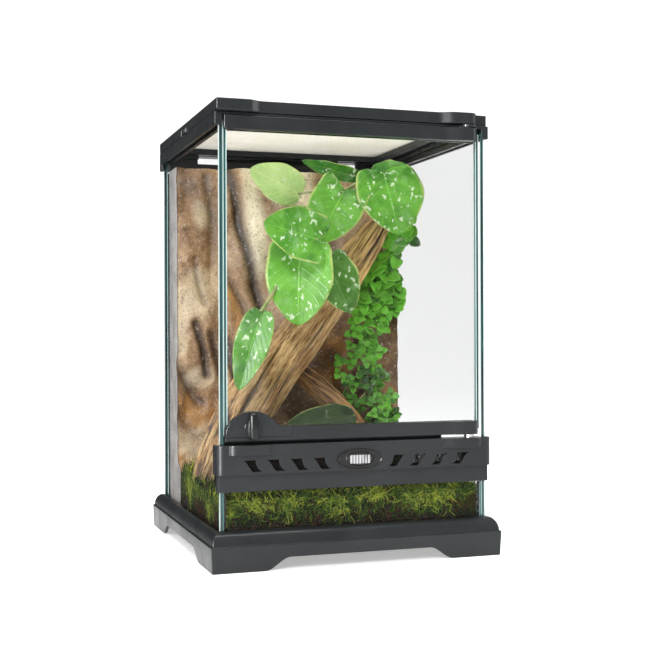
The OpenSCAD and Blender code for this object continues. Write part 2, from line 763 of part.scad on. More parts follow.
module lock_recess() {
    box([-far, lock_y - lock_l / 2 - 0.4, lid_z - 1],
        [-gx + 1.2, lock_y + lock_l / 2 + lock_travel + 0.4, lid_z + 5.2]);
}

module lid_frame() {
    sx = gx - screen_in;
    sy = gy - screen_in;
    lip_x = open_x - 0.6;
    lip_y = open_y - 0.6;
    color(plastic) difference() {
        union() {
            translate([0, 0, lid_z]) linear_extrude(lid_h) lid_plan();
            box([-lip_x, -lip_y, lid_z - 2], [lip_x, lip_y, lid_z + 1]);
        }
        box([-sx, -sy, lid_z - 3], [sx, sy, lid_top + 1]);
        box([-sx - rebate_w, -sy - rebate_w, screen_z], [sx + rebate_w, sy + rebate_w, lid_top + 1]);
        lock_recess();
        mirror([1, 0, 0]) lock_recess();
    }
}

module lid_screen() {
    half_x = gx - screen_in + rebate_w - 0.2;
    half_y = gy - screen_in + rebate_w - 0.2;
    pitch_x = (2 * half_x - wire_t) / screen_n;
    pitch_y = (2 * half_y - wire_t) / screen_n;
    color([0.9, 0.88, 0.8]) translate([0, 0, screen_z]) linear_extrude(screen_t) difference() {
        square([2 * half_x, 2 * half_y], center = true);
        for (i = [0:screen_n - 1], j = [0:screen_n - 1])
            translate([-half_x + wire_t + i * pitch_x, -half_y + wire_t + j * pitch_y])
                square([pitch_x - wire_t, pitch_y - wire_t]);
    }
}

module screen_retainer() {
    half_x = gx - screen_in + rebate_w - 0.1;
    half_y = gy - screen_in + rebate_w - 0.1;
    z = screen_z + screen_t;
    color([0.16, 0.17, 0.17]) difference() {
        box([-half_x, -half_y, z], [half_x, half_y, z + 2.4]);
        box([-half_x + rebate_w - 0.3, -half_y + rebate_w - 0.3, z - 1],
            [half_x - rebate_w + 0.3, half_y - rebate_w + 0.3, far]);
    }
}

// Sliding lock: a body in the lid's side with a foot that passes into the top frame
module lid_lock() {
    foot_low = side_glass_top + 1.2;
    rib_pitch = 2.4;
    half_foot = lock_foot / 2;
    color([0.14, 0.145, 0.15]) {
        translate([0, lock_y, 0]) {
            box([-out_x + 0.2, -lock_l / 2, lid_z + 0.3], [-gx + 0.9, lock_l / 2, lid_z + 4.9]);
            for (i = [-2:2]) translate([0, i * rib_pitch, 0])
                box([-out_x - 0.4, -0.5, lid_z + 0.9], [-out_x + 0.3, 0.5, lid_z + 4.3]);
            box([lock_x[0] + 0.7, -half_foot, foot_low], [lock_x[1] - 0.7, half_foot, lid_z + 0.4]);
            box([lock_x[0] + 0.2, -half_foot, foot_low], [lock_x[1] - 0.2, half_foot, frame_top - 1.7]);
        }
    }
}

module left_lid_lock() {
    lid_lock();
}

module right_lid_lock() {
    mirror([1, 0, 0]) lid_lock();
}

// ---------- cable inlet shutters ----------
// Stored open, beside the inlet on its inner side
module inlet_shutter() {
    x1 = inlet_x - 1;
    x0 = x1 - shutter_w;
    mid = (x0 + x1) / 2;
    color([0.16, 0.17, 0.17]) {
        box([x0, inlet_y + 0.1, inlet_z - 0.8], [x1, inlet_y + shutter_t, inlet_z + inlet_h + 0.8]);
        box([mid - 2, inlet_y + shutter_t - 0.1, inlet_z + 1.8],
            [mid + 2, out_y + 1.2, inlet_z + inlet_h - 1.8]);
    }
}

module right_inlet_shutter() {
    inlet_shutter();
}

module left_inlet_shutter() {
    mirror([1, 0, 0]) inlet_shutter();
}

// ---------- landscape ----------
wall_gap = 0.6;
bed_x = in_x - wall_gap;
bed_front = -in_y + wall_gap;
rock_back_y = in_y - rock_gap;
rock_y = rock_back_y - rock_t;
rock_top = frame_top - rock_drop;
wall_foot = rock_y - rock_relief;
bed_back = wall_foot - nature_gap;
seat_z = moss_top - 3;
bark = 0.05;

// Relief of the rock wall: slanting ribs with a pale upright ridge left of the middle
function rock_depth(x, z) = rock_relief * (
    0.4 * sin(x * 3.1 + z * 1.9 + 30 * sin(z * 2.2)) +
    0.25 * sin(x * 5.3 - z * 3.7 + 40) +
    0.15 * sin(z * 7.1 + x * 1.3) +
    0.6 * exp(-pow((x + 36 + 6 * sin(z * 1.6)) / 13, 2)) -
    0.6 * exp(-pow((x + 62 + 4 * sin(z * 2)) / 7, 2)));

// The wall's foot is a plain plinth behind the beds, and its relief stands above it
module rock_wall() {
    rows = 28;
    cols = 26;
    foot = floor_top;
    function px(c) = mix(-bed_x, bed_x, c / (cols - 1));
    function pz(r) = r == 0 ? foot : mix(moss_top + 8, rock_top, (r - 1) / (rows - 2));
    function face(r, c) = r < 2 ? wall_foot :
        rock_y - min(1, min(c, cols - 1 - c) / 2) * rock_depth(px(c), pz(r));
    front_points = [for (r = [0:rows - 1], c = [0:cols - 1]) [px(c), face(r, c), pz(r)]];
    function at(r, c) = r * cols + c;
    rim = concat(
        [for (c = [0:cols - 2]) at(0, c)], [for (r = [0:rows - 2]) at(r, cols - 1)],
        [for (c = [cols - 1:-1:1]) at(rows - 1, c)], [for (r = [rows - 1:-1:1]) at(r, 0)]);
    m = len(rim);
    n = rows * cols;
    back_points = [for (i = rim) let (p = front_points[i]) [p[0], rock_back_y, p[2]]];
    back_middle = [0, rock_back_y, (foot + rock_top) / 2];
    faces = concat(
        [for (r = [0:rows - 2], c = [0:cols - 2])
            each [[at(r, c), at(r + 1, c), at(r + 1, c + 1)], [at(r, c), at(r + 1, c + 1), at(r, c + 1)]]],
        [for (i = [0:m - 1]) let (k = (i + 1) % m) each [[rim[i], rim[k], n + k], [rim[i], n + k, n + i]]],
        [for (i = [0:m - 1]) [n + m, n + i, n + (i + 1) % m]]);
    color([0.55, 0.44, 0.32]) polyhedron(concat(front_points, back_points, [back_middle]), faces, 4);
}

// The front corners of the beds stay clear of the sealant beads
bed_cut = bead_leg + 0.6;
function bed_edge(x) = bed_front + max(0, abs(x) - (bed_x - bed_cut));

module soil_bed() {
    color([0.16, 0.12, 0.08]) translate([0, 0, floor_top]) linear_extrude(soil_top - floor_top)
        polygon([[-bed_x, bed_front + bed_cut], [-bed_x + bed_cut, bed_front], [bed_x - bed_cut, bed_front],
            [bed_x, bed_front + bed_cut], [bed_x, bed_back], [-bed_x, bed_back]]);
}

// A point of the planting: x and y as shares of the glass box's half width and half depth, in
// hundredths, and its height above the seat as a share of the way up to the top of the frame
cabin_h = frame_top - seat_z;
plant_k = cabin_h / 267.7;
function spot(p) = [gx * p[0] / 100, gy * p[1] / 100, seat_z + plant_k * p[2]];
function spots(list) = [for (p = list) spot(p)];

// Feet that stand on the moss: log, branch, ground leaf and creeping plant
feet = spots([[-84, 4, 0], [56, 30, 0], [24, -36, 0], [84, 43, 0]]);
feet_r = [26, 20, 12, 12];

// Mounds that fade to a level seat under each foot
function seat_blend(x, y) = max(0, min([for (i = [0:len(feet) - 1])
    min(1, (norm([x - feet[i][0], y - feet[i][1]]) - feet_r[i]) / 8)]));
function moss_height(x, y) = mix(seat_z, moss_top + moss_relief * (
    0.6 * sin(x * 5 + 50) * cos(y * 4.1) + 0.5 * sin(x * 9 - y * 7) + 0.3), seat_blend(x, y));

module moss_bed() {
    rows = 20;
    cols = 24;
    function px(c) = mix(-bed_x, bed_x, c / (cols - 1));
    function py(r, c) = mix(bed_edge(px(c)), bed_back, r / (rows - 1));
    upper = [for (r = [0:rows - 1], c = [0:cols - 1]) [px(c), py(r, c), moss_height(px(c), py(r, c))]];
    lower = [for (p = upper) [p[0], p[1], soil_top]];
    color([0.35, 0.5, 0.12]) grid_plate(upper, lower, rows, cols);
}

log_path = spots([[-84, 4, 0], [-84, 4, 5], [-78, 4, 18], [-68, 4, 34], [-58, 5, 49], [-48, 6, 64],
    [-36, 8, 80], [-23, 10, 96], [-9, 12, 112], [6, 15, 130], [21, 18, 148], [35, 22, 165],
    [48, 25, 181], [60, 28, 196], [69, 31, 208]]);
log_taper = [0.5, 0.56, 0.72, 0.9, 1, 1, 0.96, 0.9, 0.86, 0.8, 0.75, 0.7, 0.63, 0.54, 0.4];
branch_path = spots([[-3, 31, 85], [12, 31, 73], [28, 30, 59], [42, 30, 44], [52, 30, 26], [56, 30, 4],
    [56, 30, 0]]);
branch_taper = [0.8, 1, 1.05, 1, 0.95, 0.95, 1];

module driftwood_log() {
    color([0.62, 0.45, 0.28]) limb(log_path, log_r * log_taper, 16, bark);
}

module driftwood_branch() {
    color([0.5, 0.33, 0.18]) limb(branch_path, branch_r * branch_taper, 12, bark);
}

// Large-leaved vine, growing out of the log's upper end
log_end = log_path[len(log_path) - 1];
log_end_way = unit(log_end - log_path[len(log_path) - 2]);
vine_path = concat([log_end + log_end_way * nature_gap, log_end + log_end_way * 8 * plant_k],
    spots([[72, 26, 230], [62, 14, 241], [44, 9, 239], [24, 8, 226], [6, 4, 208], [-8, -4, 190],
        [-24, -14, 168], [-40, -27, 148], [-53, -38, 132]]));
// base, tip, facing, width and the stem's point that it grows from
vine_leaves = [
    [[-2, 25, 228], [-42, 30, 250], [-0.2, -0.95, 0.25], 34, 5],
    [[28, 4, 231], [1, -10, 189], [-0.15, -0.9, 0.4], 44, 5],
    [[61, 4, 251], [68, -16, 197], [-0.1, -0.9, 0.42], 60, 3],
    [[-5, -33, 187], [-50, -44, 199], [-0.2, -0.95, 0.2], 42, 6],
    [[-17, -20, 180], [-24, -38, 124], [-0.25, -0.9, 0.3], 52, 7],
    [[4, -16, 174], [22, -31, 134], [0.1, -0.9, 0.4], 42, 7],
    [[49, 22, 244], [0, 28, 254], [-0.1, -0.8, -0.6], 15, 4],
    [[60, 20, 245], [88, 10, 248], [0, -0.7, 0.7], 19, 3],
    [[-51.7, -37.4, 133.6], [-73, -46, 76], [-0.35, -0.9, 0.15], 27, 10]];

module stalk(a, b, r = stem_r * 0.65) {
    limb([a, (a + b) / 2 + [0, -r, r] * 1.8, b], [r, r, r * 0.9], 6);
}

module leafy_vine() {
    color([0.36, 0.68, 0.25]) {
        limb(vine_path, [for (p = vine_path) stem_r], 8);
        for (l = vine_leaves) {
            base = spot(l[0]);
            tip = spot(l[1]);
            node_at = vine_path[l[4]];
            leaf(base, tip, l[2], l[3] * plant_k);
            if (norm(node_at - base) > 4 * plant_k) stalk(node_at, base + unit(tip - base) * 3 * plant_k);
        }
    }
}

// Small-leaved plant that climbs in front of the right-hand side of the rock wall
creeper_path = spots([[84, 43, 0], [84, 43, 6], [86, 43, 30], [80, 43, 52], [68, 42, 76], [63, 41, 100],
    [70, 40, 124], [81, 41, 146], [86, 41, 166], [88, 41, 184]]);
creeper_reach = 12;

module creeping_plant() {
    n = len(creeper_path);
    reach_x = bed_x - 6;
    color([0.25, 0.6, 0.2]) {
        limb(creeper_path, [for (p = creeper_path) 1.4], 6);
        for (i = [0:creeper_n - 1]) {
            t = 1 + (i + 0.5) / creeper_n * (n - 2);
            k = floor(t);
            p = mix(creeper_path[k], creeper_path[k + 1], t - k);
            turn = i * 137.5;
            reach = creeper_reach * (1 + sin(i * 71) / 3);
            out = creeper_reach * (7 + 4 * sin(i * 53)) / 12;
            tip = [min(p[0] + reach * cos(turn), reach_x), p[1] - out, p[2] + 0.9 * reach * sin(turn)];
            leaf(p, tip, [-0.3, -0.85, 0.4], 9 + 2 * sin(i * 97), 4, 0.12, 0.08);
        }
    }
}

// One broad leaf on a stalk of its own, low in front
module ground_leaf() {
    top = spot([21, -39, 54]);
    stalk_r = stem_r * 0.88;
    stalk_path = concat(spots([[24, -36, 0], [24, -36, 6], [25, -38, 24]]), [top + [-stalk_r, 0, 0]]);
    color([0.2, 0.45, 0.16]) {
        limb(stalk_path, stalk_r * [1, 1, 0.93, 0.73], 8);
        leaf(top, spot([-34, -42, 51]), [-0.1, -0.75, 0.65], 23 * plant_k);
    }
}

base_plinth();
rubber_feet();
bottom_pane();
left_pane();
right_pane();
rear_pane();
front_pane();
sealant_beads();
front_rail();
vent_screens();
badge_rim();
badge_plate();
top_frame();
lower_hinge_pin();
upper_hinge_pin();
rock_wall();
soil_bed();
moss_bed();
driftwood_log();
driftwood_branch();
leafy_vine();
creeping_plant();
ground_leaf();
door_pane();
door_top_rail();
door_bottom_rail();
latch_knob();
latch_cam();
latch_screw();
lid_frame();
lid_screen();
screen_retainer();
left_lid_lock();
right_lid_lock();
left_inlet_shutter();
right_inlet_shutter();
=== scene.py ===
import json
import math

import bmesh
import bpy
import numpy as np
from mathutils import Matrix, Vector


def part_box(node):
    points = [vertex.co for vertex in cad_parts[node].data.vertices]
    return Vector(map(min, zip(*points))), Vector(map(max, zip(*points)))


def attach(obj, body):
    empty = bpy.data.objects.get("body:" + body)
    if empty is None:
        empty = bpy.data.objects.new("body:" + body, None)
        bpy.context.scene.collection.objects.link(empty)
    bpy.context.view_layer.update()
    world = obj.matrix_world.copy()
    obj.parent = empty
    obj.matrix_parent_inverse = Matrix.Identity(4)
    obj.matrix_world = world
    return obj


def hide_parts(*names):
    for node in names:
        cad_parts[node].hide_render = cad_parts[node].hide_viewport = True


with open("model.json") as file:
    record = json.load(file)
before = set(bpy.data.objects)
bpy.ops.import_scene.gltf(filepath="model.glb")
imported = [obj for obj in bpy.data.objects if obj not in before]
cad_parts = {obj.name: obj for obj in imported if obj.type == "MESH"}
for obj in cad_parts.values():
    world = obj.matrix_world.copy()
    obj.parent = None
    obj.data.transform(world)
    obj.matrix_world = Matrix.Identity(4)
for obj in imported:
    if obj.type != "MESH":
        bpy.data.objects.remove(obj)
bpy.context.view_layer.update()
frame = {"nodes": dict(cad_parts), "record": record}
scene = bpy.context.scene
rng = np.random.default_rng(11)
MM = 0.001


def add_object(name, data):
    obj = bpy.data.objects.new(name, data)
    scene.collection.objects.link(obj)
    return obj


def node_box(name):
    """Lowest and highest corner of a CAD node, in millimetres."""
    return (np.array(v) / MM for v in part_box(name))


# ---------- camera, fitted to the photo ----------
LENS, SENSOR = 63.9, 36
EYE = (-0.28444, -0.88711, 0.16201)
RIGHT, UP, WAY = (0.9472, -0.32063, -0.0036), (0.00314, -0.00195, 1.0), (0.32064, 0.9472, 0.00084)


def aim_camera():
    data = bpy.data.cameras.new("camera")
    data.sensor_width = SENSOR
    data.lens = LENS
    data.clip_end = 50
    cam = add_object("camera", data)
    cam.matrix_world = Matrix([[RIGHT[i], UP[i], -WAY[i], EYE[i]] for i in range(3)] + [[0, 0, 0, 1]])
    scene.camera = cam


aim_camera()


# ---------- numbers ----------
def unit(v):
    v = np.asarray(v, float)
    return v / np.linalg.norm(v)


def unit_rows(v):
    return v / np.maximum(np.linalg.norm(v, axis=-1, keepdims=True), 1e-9)


def smooth(t):
    t = np.clip(t, 0, 1)
    return t * t * (3 - 2 * t)


def lattice(i, j, k, seed):
    h = (i * 374761393 + j * 668265263 + k * 1274126177 + seed * 974634777) & 0xFFFFFFFF
    h = ((h ^ (h >> 13)) * 1274126177) & 0xFFFFFFFF
    return ((h ^ (h >> 16)) & 0xFFFF) / 65535.0 * 2 - 1


def noise(p, size, seed=0):
    """Smooth noise from -1 to 1 at points p, with lumps of that size."""
    q = np.asarray(p, float) / size
    c = np.floor(q).astype(np.int64)
    f = q - c
    f = f * f * (3 - 2 * f)
    out = 0
    for dx in (0, 1):
        for dy in (0, 1):
            for dz in (0, 1):
                w = np.abs(1 - dx - f[..., 0]) * np.abs(1 - dy - f[..., 1]) * np.abs(1 - dz - f[..., 2])
                out = out + w * lattice(c[..., 0] + dx, c[..., 1] + dy, c[..., 2] + dz, seed)
    return out


def fbm(p, size, octaves=4, seed=0, gain=0.5):
    return sum(noise(p, size / 2**o, seed + o) * gain**o for o in range(octaves))


def distances(path):
    """How far along a path each of its points lies."""
    return np.concatenate([[0], np.cumsum(np.linalg.norm(np.diff(path, axis=0), axis=1))])


def resample(path, n):
    """n points along a smooth curve through the path, and where each lies along it from 0 to 1."""
    p = np.asarray(path, float)
    d = distances(p)
    t = np.linspace(0, d[-1], n)
    m = np.gradient(p, d, axis=0)
    k = np.clip(np.searchsorted(d, t) - 1, 0, len(p) - 2)
    h = (d[k + 1] - d[k])[:, None]
    s = ((t - d[k]) / (d[k + 1] - d[k]))[:, None]
    out = (
        (2 * s**3 - 3 * s**2 + 1) * p[k]
        + (s**3 - 2 * s**2 + s) * h * m[k]
        + (3 * s**2 - 2 * s**3) * p[k + 1]
        + (s**3 - s**2) * h * m[k + 1]
    )
    return out, t / d[-1]


def frames(path):
    """Two directions across a path at each of its points, without twist."""
    t = np.gradient(path, axis=0)
    t /= np.linalg.norm(t, axis=1)[:, None]
    u = unit(np.cross(t[0], (0.05, 1, 0.02)))
    us = []
    for w in t:
        u = unit(u - w * np.dot(u, w))
        us.append(u)
    us = np.array(us)
    return t, us, np.cross(t, us)


# ---------- mesh making ----------
def grid_faces(rows, cols, closed=False, start=0):
    c = cols if closed else cols - 1
    r, k = np.meshgrid(np.arange(rows - 1), np.arange(c), indexing="ij")
    a = r * cols + k
    b = r * cols + (k + 1) % cols
    return (np.stack([a, b, b + cols, a + cols], -1).reshape(-1, 4) + start).tolist()


def grid_rim(rows, cols):
    """Indices round the edge of a grid, in order."""
    rim = list(range(cols)) + [r * cols + cols - 1 for r in range(1, rows)]
    rim += [(rows - 1) * cols + c for c in range(cols - 2, -1, -1)]
    return rim + [r * cols for r in range(rows - 2, 0, -1)]


def piece(name, verts, faces, mat, nodes=(), body="tank", slot=None, data=None):
    """A mesh piece in millimetres, with named numbers per vertex for its material."""
    me = bpy.data.meshes.new(name)
    me.from_pydata((np.asarray(verts, float) * MM).tolist(), [], faces)
    for key, values in (data or {}).items():
        values = np.asarray(values, np.float32)
        kind = "FLOAT" if values.ndim == 1 else "FLOAT_VECTOR"
        at = me.attributes.new(key, kind, "POINT")
        at.data.foreach_set("value" if kind == "FLOAT" else "vector", values.ravel())
    me.materials.append(mat)
    me.shade_smooth()
    obj = add_object(name, me)
    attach(obj, body)
    if nodes:
        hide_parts(*nodes)
    return obj


class Heap:
    """Gathers many small meshes into one piece."""

    def __init__(self):
        self.verts, self.faces, self.data, self.n = [], [], {}, 0

    def add(self, verts, faces, **data):
        self.verts.append(verts)
        self.faces += [[i + self.n for i in f] for f in faces]
        for key, value in data.items():
            value = np.asarray(value, float)
            if value.ndim == 0:
                value = np.full(len(verts), float(value))
            self.data.setdefault(key, []).append(value)
        self.n += len(verts)

    def piece(self, name, mat, **options):
        data = {k: np.concatenate(v) for k, v in self.data.items()}
        return piece(name, np.concatenate(self.verts), self.faces, mat, data=data, **options)


def tube(path, radius, sides):
    """Verts and faces of a round stem, closed at both ends."""
    path = np.asarray(path, float)
    radius = np.broadcast_to(radius, len(path))
    _, u, v = frames(path)
    a = np.arange(sides) * 2 * math.pi / sides
    ring = np.cos(a)[None, :, None] * u[:, None] + np.sin(a)[None, :, None] * v[:, None]
    verts = (path[:, None] + radius[:, None, None] * ring).reshape(-1, 3)
    faces = grid_faces(len(path), sides, True)
    n = len(path) * sides
    faces += [list(range(sides))[::-1], list(range(n - sides, n))]
    return verts, faces


# ---------- material making ----------
class Nodes:
    """Short calls for the nodes of one material."""

    def __init__(self, name, rough=0.5, **inputs):
        self.mat = bpy.data.materials.new(name)
        self.mat.use_nodes = True
        self.tree = self.mat.node_tree
        self.shader = self.tree.nodes["Principled BSDF"]
        self.out = self.tree.nodes["Material Output"]
        self.shader.inputs["Roughness"].default_value = rough
        for key, value in inputs.items():
            self.shader.inputs[key.replace("_", " ")].default_value = value

    def new(self, kind, **settings):
        n = self.tree.nodes.new("ShaderNode" + kind)
        for key, value in settings.items():
            setattr(n, key, value)
        return n

    def link(self, a, b):
        self.tree.links.new(a, b)

    def put(self, socket, value):
        if isinstance(value, bpy.types.NodeSocket):
            self.link(value, socket)
        else:
            socket.default_value = value

    def place(self):
        return self.new("TexCoord").outputs["Object"]

    def value(self, name):
        return self.new("Attribute", attribute_name=name).outputs["Fac"]

    def vector(self, name):
        return self.new("Attribute", attribute_name=name).outputs["Vector"]

    def split(self, vec):
        n = self.new("SeparateXYZ")
        self.link(vec, n.inputs[0])
        return n.outputs

    def stretch(self, vec, scale):
        n = self.new("Mapping")
        self.link(vec, n.inputs["Vector"])
        self.put(n.inputs["Scale"], scale)
        return n.outputs[0]

    def noise(self, vec, scale, detail=4, rough=0.55, distort=0):
        n = self.new("TexNoise")
        self.link(vec, n.inputs["Vector"])
        self.put(n.inputs["Scale"], scale)
        self.put(n.inputs["Detail"], detail)
        self.put(n.inputs["Roughness"], rough)
        self.put(n.inputs["Distortion"], distort)
        return n.outputs["Fac"]

    def cells(self, vec, scale):
        n = self.new("TexVoronoi")
        self.link(vec, n.inputs["Vector"])
        self.put(n.inputs["Scale"], scale)
        return n.outputs["Distance"]

    def span(self, value, lo, hi, to_lo=0.0, to_hi=1.0):
        n = self.new("MapRange", interpolation_type="SMOOTHSTEP")
        self.put(n.inputs[0], value)
        for i, v in enumerate((lo, hi, to_lo, to_hi)):
            n.inputs[i + 1].default_value = v
        return n.outputs[0]

    def math(self, kind, a, b=0.0):
        n = self.new("Math", operation=kind)
        self.put(n.inputs[0], a)
        self.put(n.inputs[1], b)
        return n.outputs[0]

    def times(self, a, b):
        return self.math("MULTIPLY", a, b)

    def plus(self, a, b):
        return self.math("ADD", a, b)

    def minus(self, a, b):
        return self.math("SUBTRACT", a, b)

    def ramp(self, value, *stops, flat=False):
        n = self.new("ValToRGB")
        if flat:
            n.color_ramp.interpolation = "CONSTANT"
        self.link(value, n.inputs[0])
        e = n.color_ramp.elements
        while len(e) < len(stops):
            e.new(0.5)
        for item, (at, colour) in zip(e, stops):
            item.position = at
            item.color = (*colour, 1)
        return n.outputs[0]

    def mix(self, fac, a, b):
        n = self.new("Mix", data_type="RGBA")
        self.put(n.inputs[0], fac)
        for socket, c in ((n.inputs[6], a), (n.inputs[7], b)):
            self.put(socket, c if isinstance(c, bpy.types.NodeSocket) else (*c, 1))
        return n.outputs[2]

    def blend(self, *sources):
        """A mix of two shaders: the share of the second, then both."""
        n = self.new("MixShader")
        for socket, source in zip(n.inputs, sources):
            self.link(source, socket)
        return n.outputs[0]

    def bump(self, *layers):
        """Each layer is a height and its depth in metres."""
        normal = None
        for height, depth in layers:
            n = self.new("Bump")
            n.inputs["Strength"].default_value = 1
            n.inputs["Distance"].default_value = depth
            self.link(height, n.inputs["Height"])
            if normal:
                self.link(normal, n.inputs["Normal"])
            normal = n.outputs[0]
        self.link(normal, self.shader.inputs["Normal"])

    def colour(self, value):
        self.put(self.shader.inputs["Base Color"], value)

    def roughness(self, value):
        self.put(self.shader.inputs["Roughness"], value)


def plastic(name, dark, light, rough, grain):
    m = Nodes(name, Specular_IOR_Level=0.22, Coat_Weight=0.15, Coat_Roughness=0.1)
    p = m.place()
    cloud = m.noise(p, 22, 3)
    fine = m.noise(p, 900, 2)
    m.colour(m.mix(m.span(cloud, 0.3, 0.7), dark, light))
    worn = m.plus(m.noise(p, 60, 4), m.times(fine, 0.3))
    m.roughness(m.span(worn, 0.3, 0.95, rough - 0.06, rough + 0.1))
    m.bump((fine, grain), (m.noise(p, 9, 2), 0.00025))
    return m.mat


# the pale colour is a painted highlight on the glass edges
TEAL, EDGE_GLINT, INK = (0.055, 0.21, 0.195), (0.62, 0.72, 0.71), (0.010, 0.013, 0.013)


def glass(name, thin, lines, ends=()):
    """Clear pane. lines: colours across the thickness of its narrow sides; ends: a width, as a share
    of the pane, and the colours across a strip of that width along each upright side of its face. The pale
    bands among these colours are painted highlights on the glass edges."""
    m = Nodes(name)
    m.tree.nodes.remove(m.shader)
    coord = m.new("TexCoord")
    side = "XYZ".index(thin)
    face = m.math("ABSOLUTE", m.split(coord.outputs["Normal"])[side])
    edge = m.math("LESS_THAN", face, 0.5)
    clear = m.new("BsdfTransparent")
    clear.inputs["Color"].default_value = (0.926, 0.928, 0.928, 1)
    gloss = m.new("BsdfGlossy")
    gloss.inputs["Roughness"].default_value = 0.02
    gloss.inputs["Color"].default_value = (1, 1, 1, 1)
    grazing = m.math("POWER", m.new("LayerWeight").outputs["Facing"], 5.0)
    pane = m.blend(m.plus(m.times(grazing, 0.2), 0.003), clear.outputs[0], gloss.outputs[0])
    rim = m.new("BsdfPrincipled")
    rim.inputs["Roughness"].default_value = 0.12
    place = m.split(coord.outputs["Generated"])
    shade = m.noise(m.place(), 14, 3)
    band = m.ramp(place[side], *lines, flat=True)
    if ends:
        near = m.math("MINIMUM", place[0], m.minus(1.0, place[0]))
        lit = m.ramp(m.math("DIVIDE", near, ends[0]), *ends[1], flat=True)
        band = m.mix(edge, lit, band)
        edge = m.math("MAXIMUM", edge, m.math("LESS_THAN", near, ends[0]))
    band = m.mix(m.span(shade, 0.35, 0.65, 0.0, 0.25), band, TEAL)
    m.link(band, rim.inputs["Base Color"])
    m.link(m.blend(edge, pane, rim.outputs[0]), m.out.inputs[0])
    return m.mat


def badge_face():
    """Silver ribs over a dark ground."""
    m = Nodes("badge_silver", 0.3)
    ribs = m.math("LESS_THAN", m.split(m.new("TexCoord").outputs["Generated"])[1], 0.45)
    p = m.stretch(m.place(), (1, 1, 0.15))
    silver = m.mix(m.span(m.noise(p, 300, 3), 0.35, 0.65), (0.30, 0.30, 0.31), (0.52, 0.52, 0.53))
    m.colour(m.mix(ribs, (0.006, 0.006, 0.007), silver))
    m.put(m.shader.inputs["Metallic"], m.times(ribs, 0.7))
    m.bump((m.noise(p, 500, 2), 0.00003))
    return m.mat


def sealant():
    m = Nodes("sealant", 0.22, Coat_Weight=0.4)
    p = m.place()
    spots = m.span(m.cells(p, 520), 0.12, 0.2, 1, 0)
    m.colour(m.mix(spots, (0.012, 0.013, 0.013), (0.35, 0.36, 0.36)))
    m.bump((m.noise(p, 260, 3), 0.0006), (m.cells(p, 520), 0.0002))
    return m.mat


def plain(name, rough, cloud, span, dark, light, grain, drawn=(1, 1, 1), **inputs):
    """Clouds of two tones over a fine grain. cloud and grain: scale, detail and, for grain, depth."""
    m = Nodes(name, rough, **inputs)
    p = m.stretch(m.place(), drawn)
    tone = m.noise(p, *cloud)
    m.colour(m.mix(m.span(tone, *span) if span else tone, dark, light))
    m.bump((m.noise(p, *grain[:2]), grain[2]))
    return m.mat


def rock():
    m = Nodes("painted_rock", 0.72)
    p = m.place()
    broad = m.noise(p, 17, 5, 0.6, 0.4)
    mid = m.noise(p, 60, 6, 0.65)
    grit = m.noise(p, 420, 3, 0.6)
    base = m.ramp(
        m.plus(m.times(broad, 0.5), m.times(m.plus(mid, m.noise(p, 230, 4, 0.7)), 0.25)),
        (0.36, (0.13, 0.055, 0.018)),
        (0.45, (0.38, 0.21, 0.095)),
        (0.54, (0.58, 0.37, 0.185)),
        (0.66, (0.80, 0.59, 0.37)),
    )
    ochre = m.times(m.value("ochre"), m.span(mid, 0.35, 0.58))
    base = m.mix(ochre, base, (0.55, 0.26, 0.05))
    # pale patches: the rock's own pale colour, partly painted light, pushed near white on the raised ridge
    # under the lid's shadow
    pale = m.times(m.value("pale"), m.span(m.noise(p, 90, 5), 0.15, 0.4))
    base = m.mix(pale, base, (1.0, 0.88, 0.62))
    # painted shade: darker in the grooves, in the shadow under the log and behind the creeping plant, and
    # along the rock's side edges
    base = m.mix(m.times(m.value("hollow"), 0.93), base, (0.030, 0.015, 0.007))
    pits = m.span(m.cells(p, 260), 0.0, 0.26, 0.9, 0)
    pits = m.times(pits, m.span(m.noise(p, 45, 2), 0.47, 0.56))
    base = m.mix(pits, base, (0.06, 0.032, 0.016))
    base = m.mix(m.span(grit, 0.56, 0.72, 0, 0.55), base, (0.80, 0.68, 0.50))
    base = m.mix(m.span(m.noise(p, 520, 2), 0.56, 0.70, 0, 0.6), base, (0.14, 0.08, 0.04))
    worn = m.mix(m.span(mid, 0.35, 0.65), (0.30, 0.285, 0.28), (0.50, 0.475, 0.46))
    worn = m.mix(m.span(grit, 0.5, 0.7, 0, 0.6), worn, (0.50, 0.44, 0.36))
    m.colour(m.mix(m.value("side"), base, worn))
    m.roughness(m.span(mid, 0.3, 0.7, 0.6, 0.85))
    m.bump((mid, 0.0018), (grit, 0.0008), (pits, 0.0006))
    return m.mat


def wood(name, dark, mid, light):
    m = Nodes(name, 0.68)
    g = m.vector("grain")
    fibre = m.noise(g, 0.42, 7, 0.62, 0.15)
    fine = m.noise(g, 1.6, 4, 0.6)
    body = m.ramp(
        m.plus(m.times(fibre, 0.55), m.times(fine, 0.45)),
        (0.40, dark),
        (0.47, mid),
        (0.54, tuple((a + b) / 2 for a, b in zip(mid, light))),
        (0.60, light),
    )
    warm = m.times(m.value("warm"), m.span(m.noise(g, 0.25, 4), 0.4, 0.6))
    body = m.mix(warm, body, tuple(min(1, c * k) for c, k in zip(light, (1.1, 0.92, 0.7))))
    body = m.mix(m.span(m.noise(g, 0.95, 6, 0.7), 0.33, 0.45, 0.85, 0), body, dark)
    # painted shade in the cracks, between the grain ridges and on the end caps
    body = m.mix(m.times(m.value("hollow"), 0.95), body, tuple(c * 0.2 for c in dark))
    dots = m.span(m.cells(m.place(), 260), 0.0, 0.17, 0.7, 0)
    body = m.mix(m.times(dots, m.span(fine, 0.45, 0.6)), body, dark)
    m.colour(body)
    m.bump((fibre, 0.0032), (fine, 0.0014))
    return m.mat


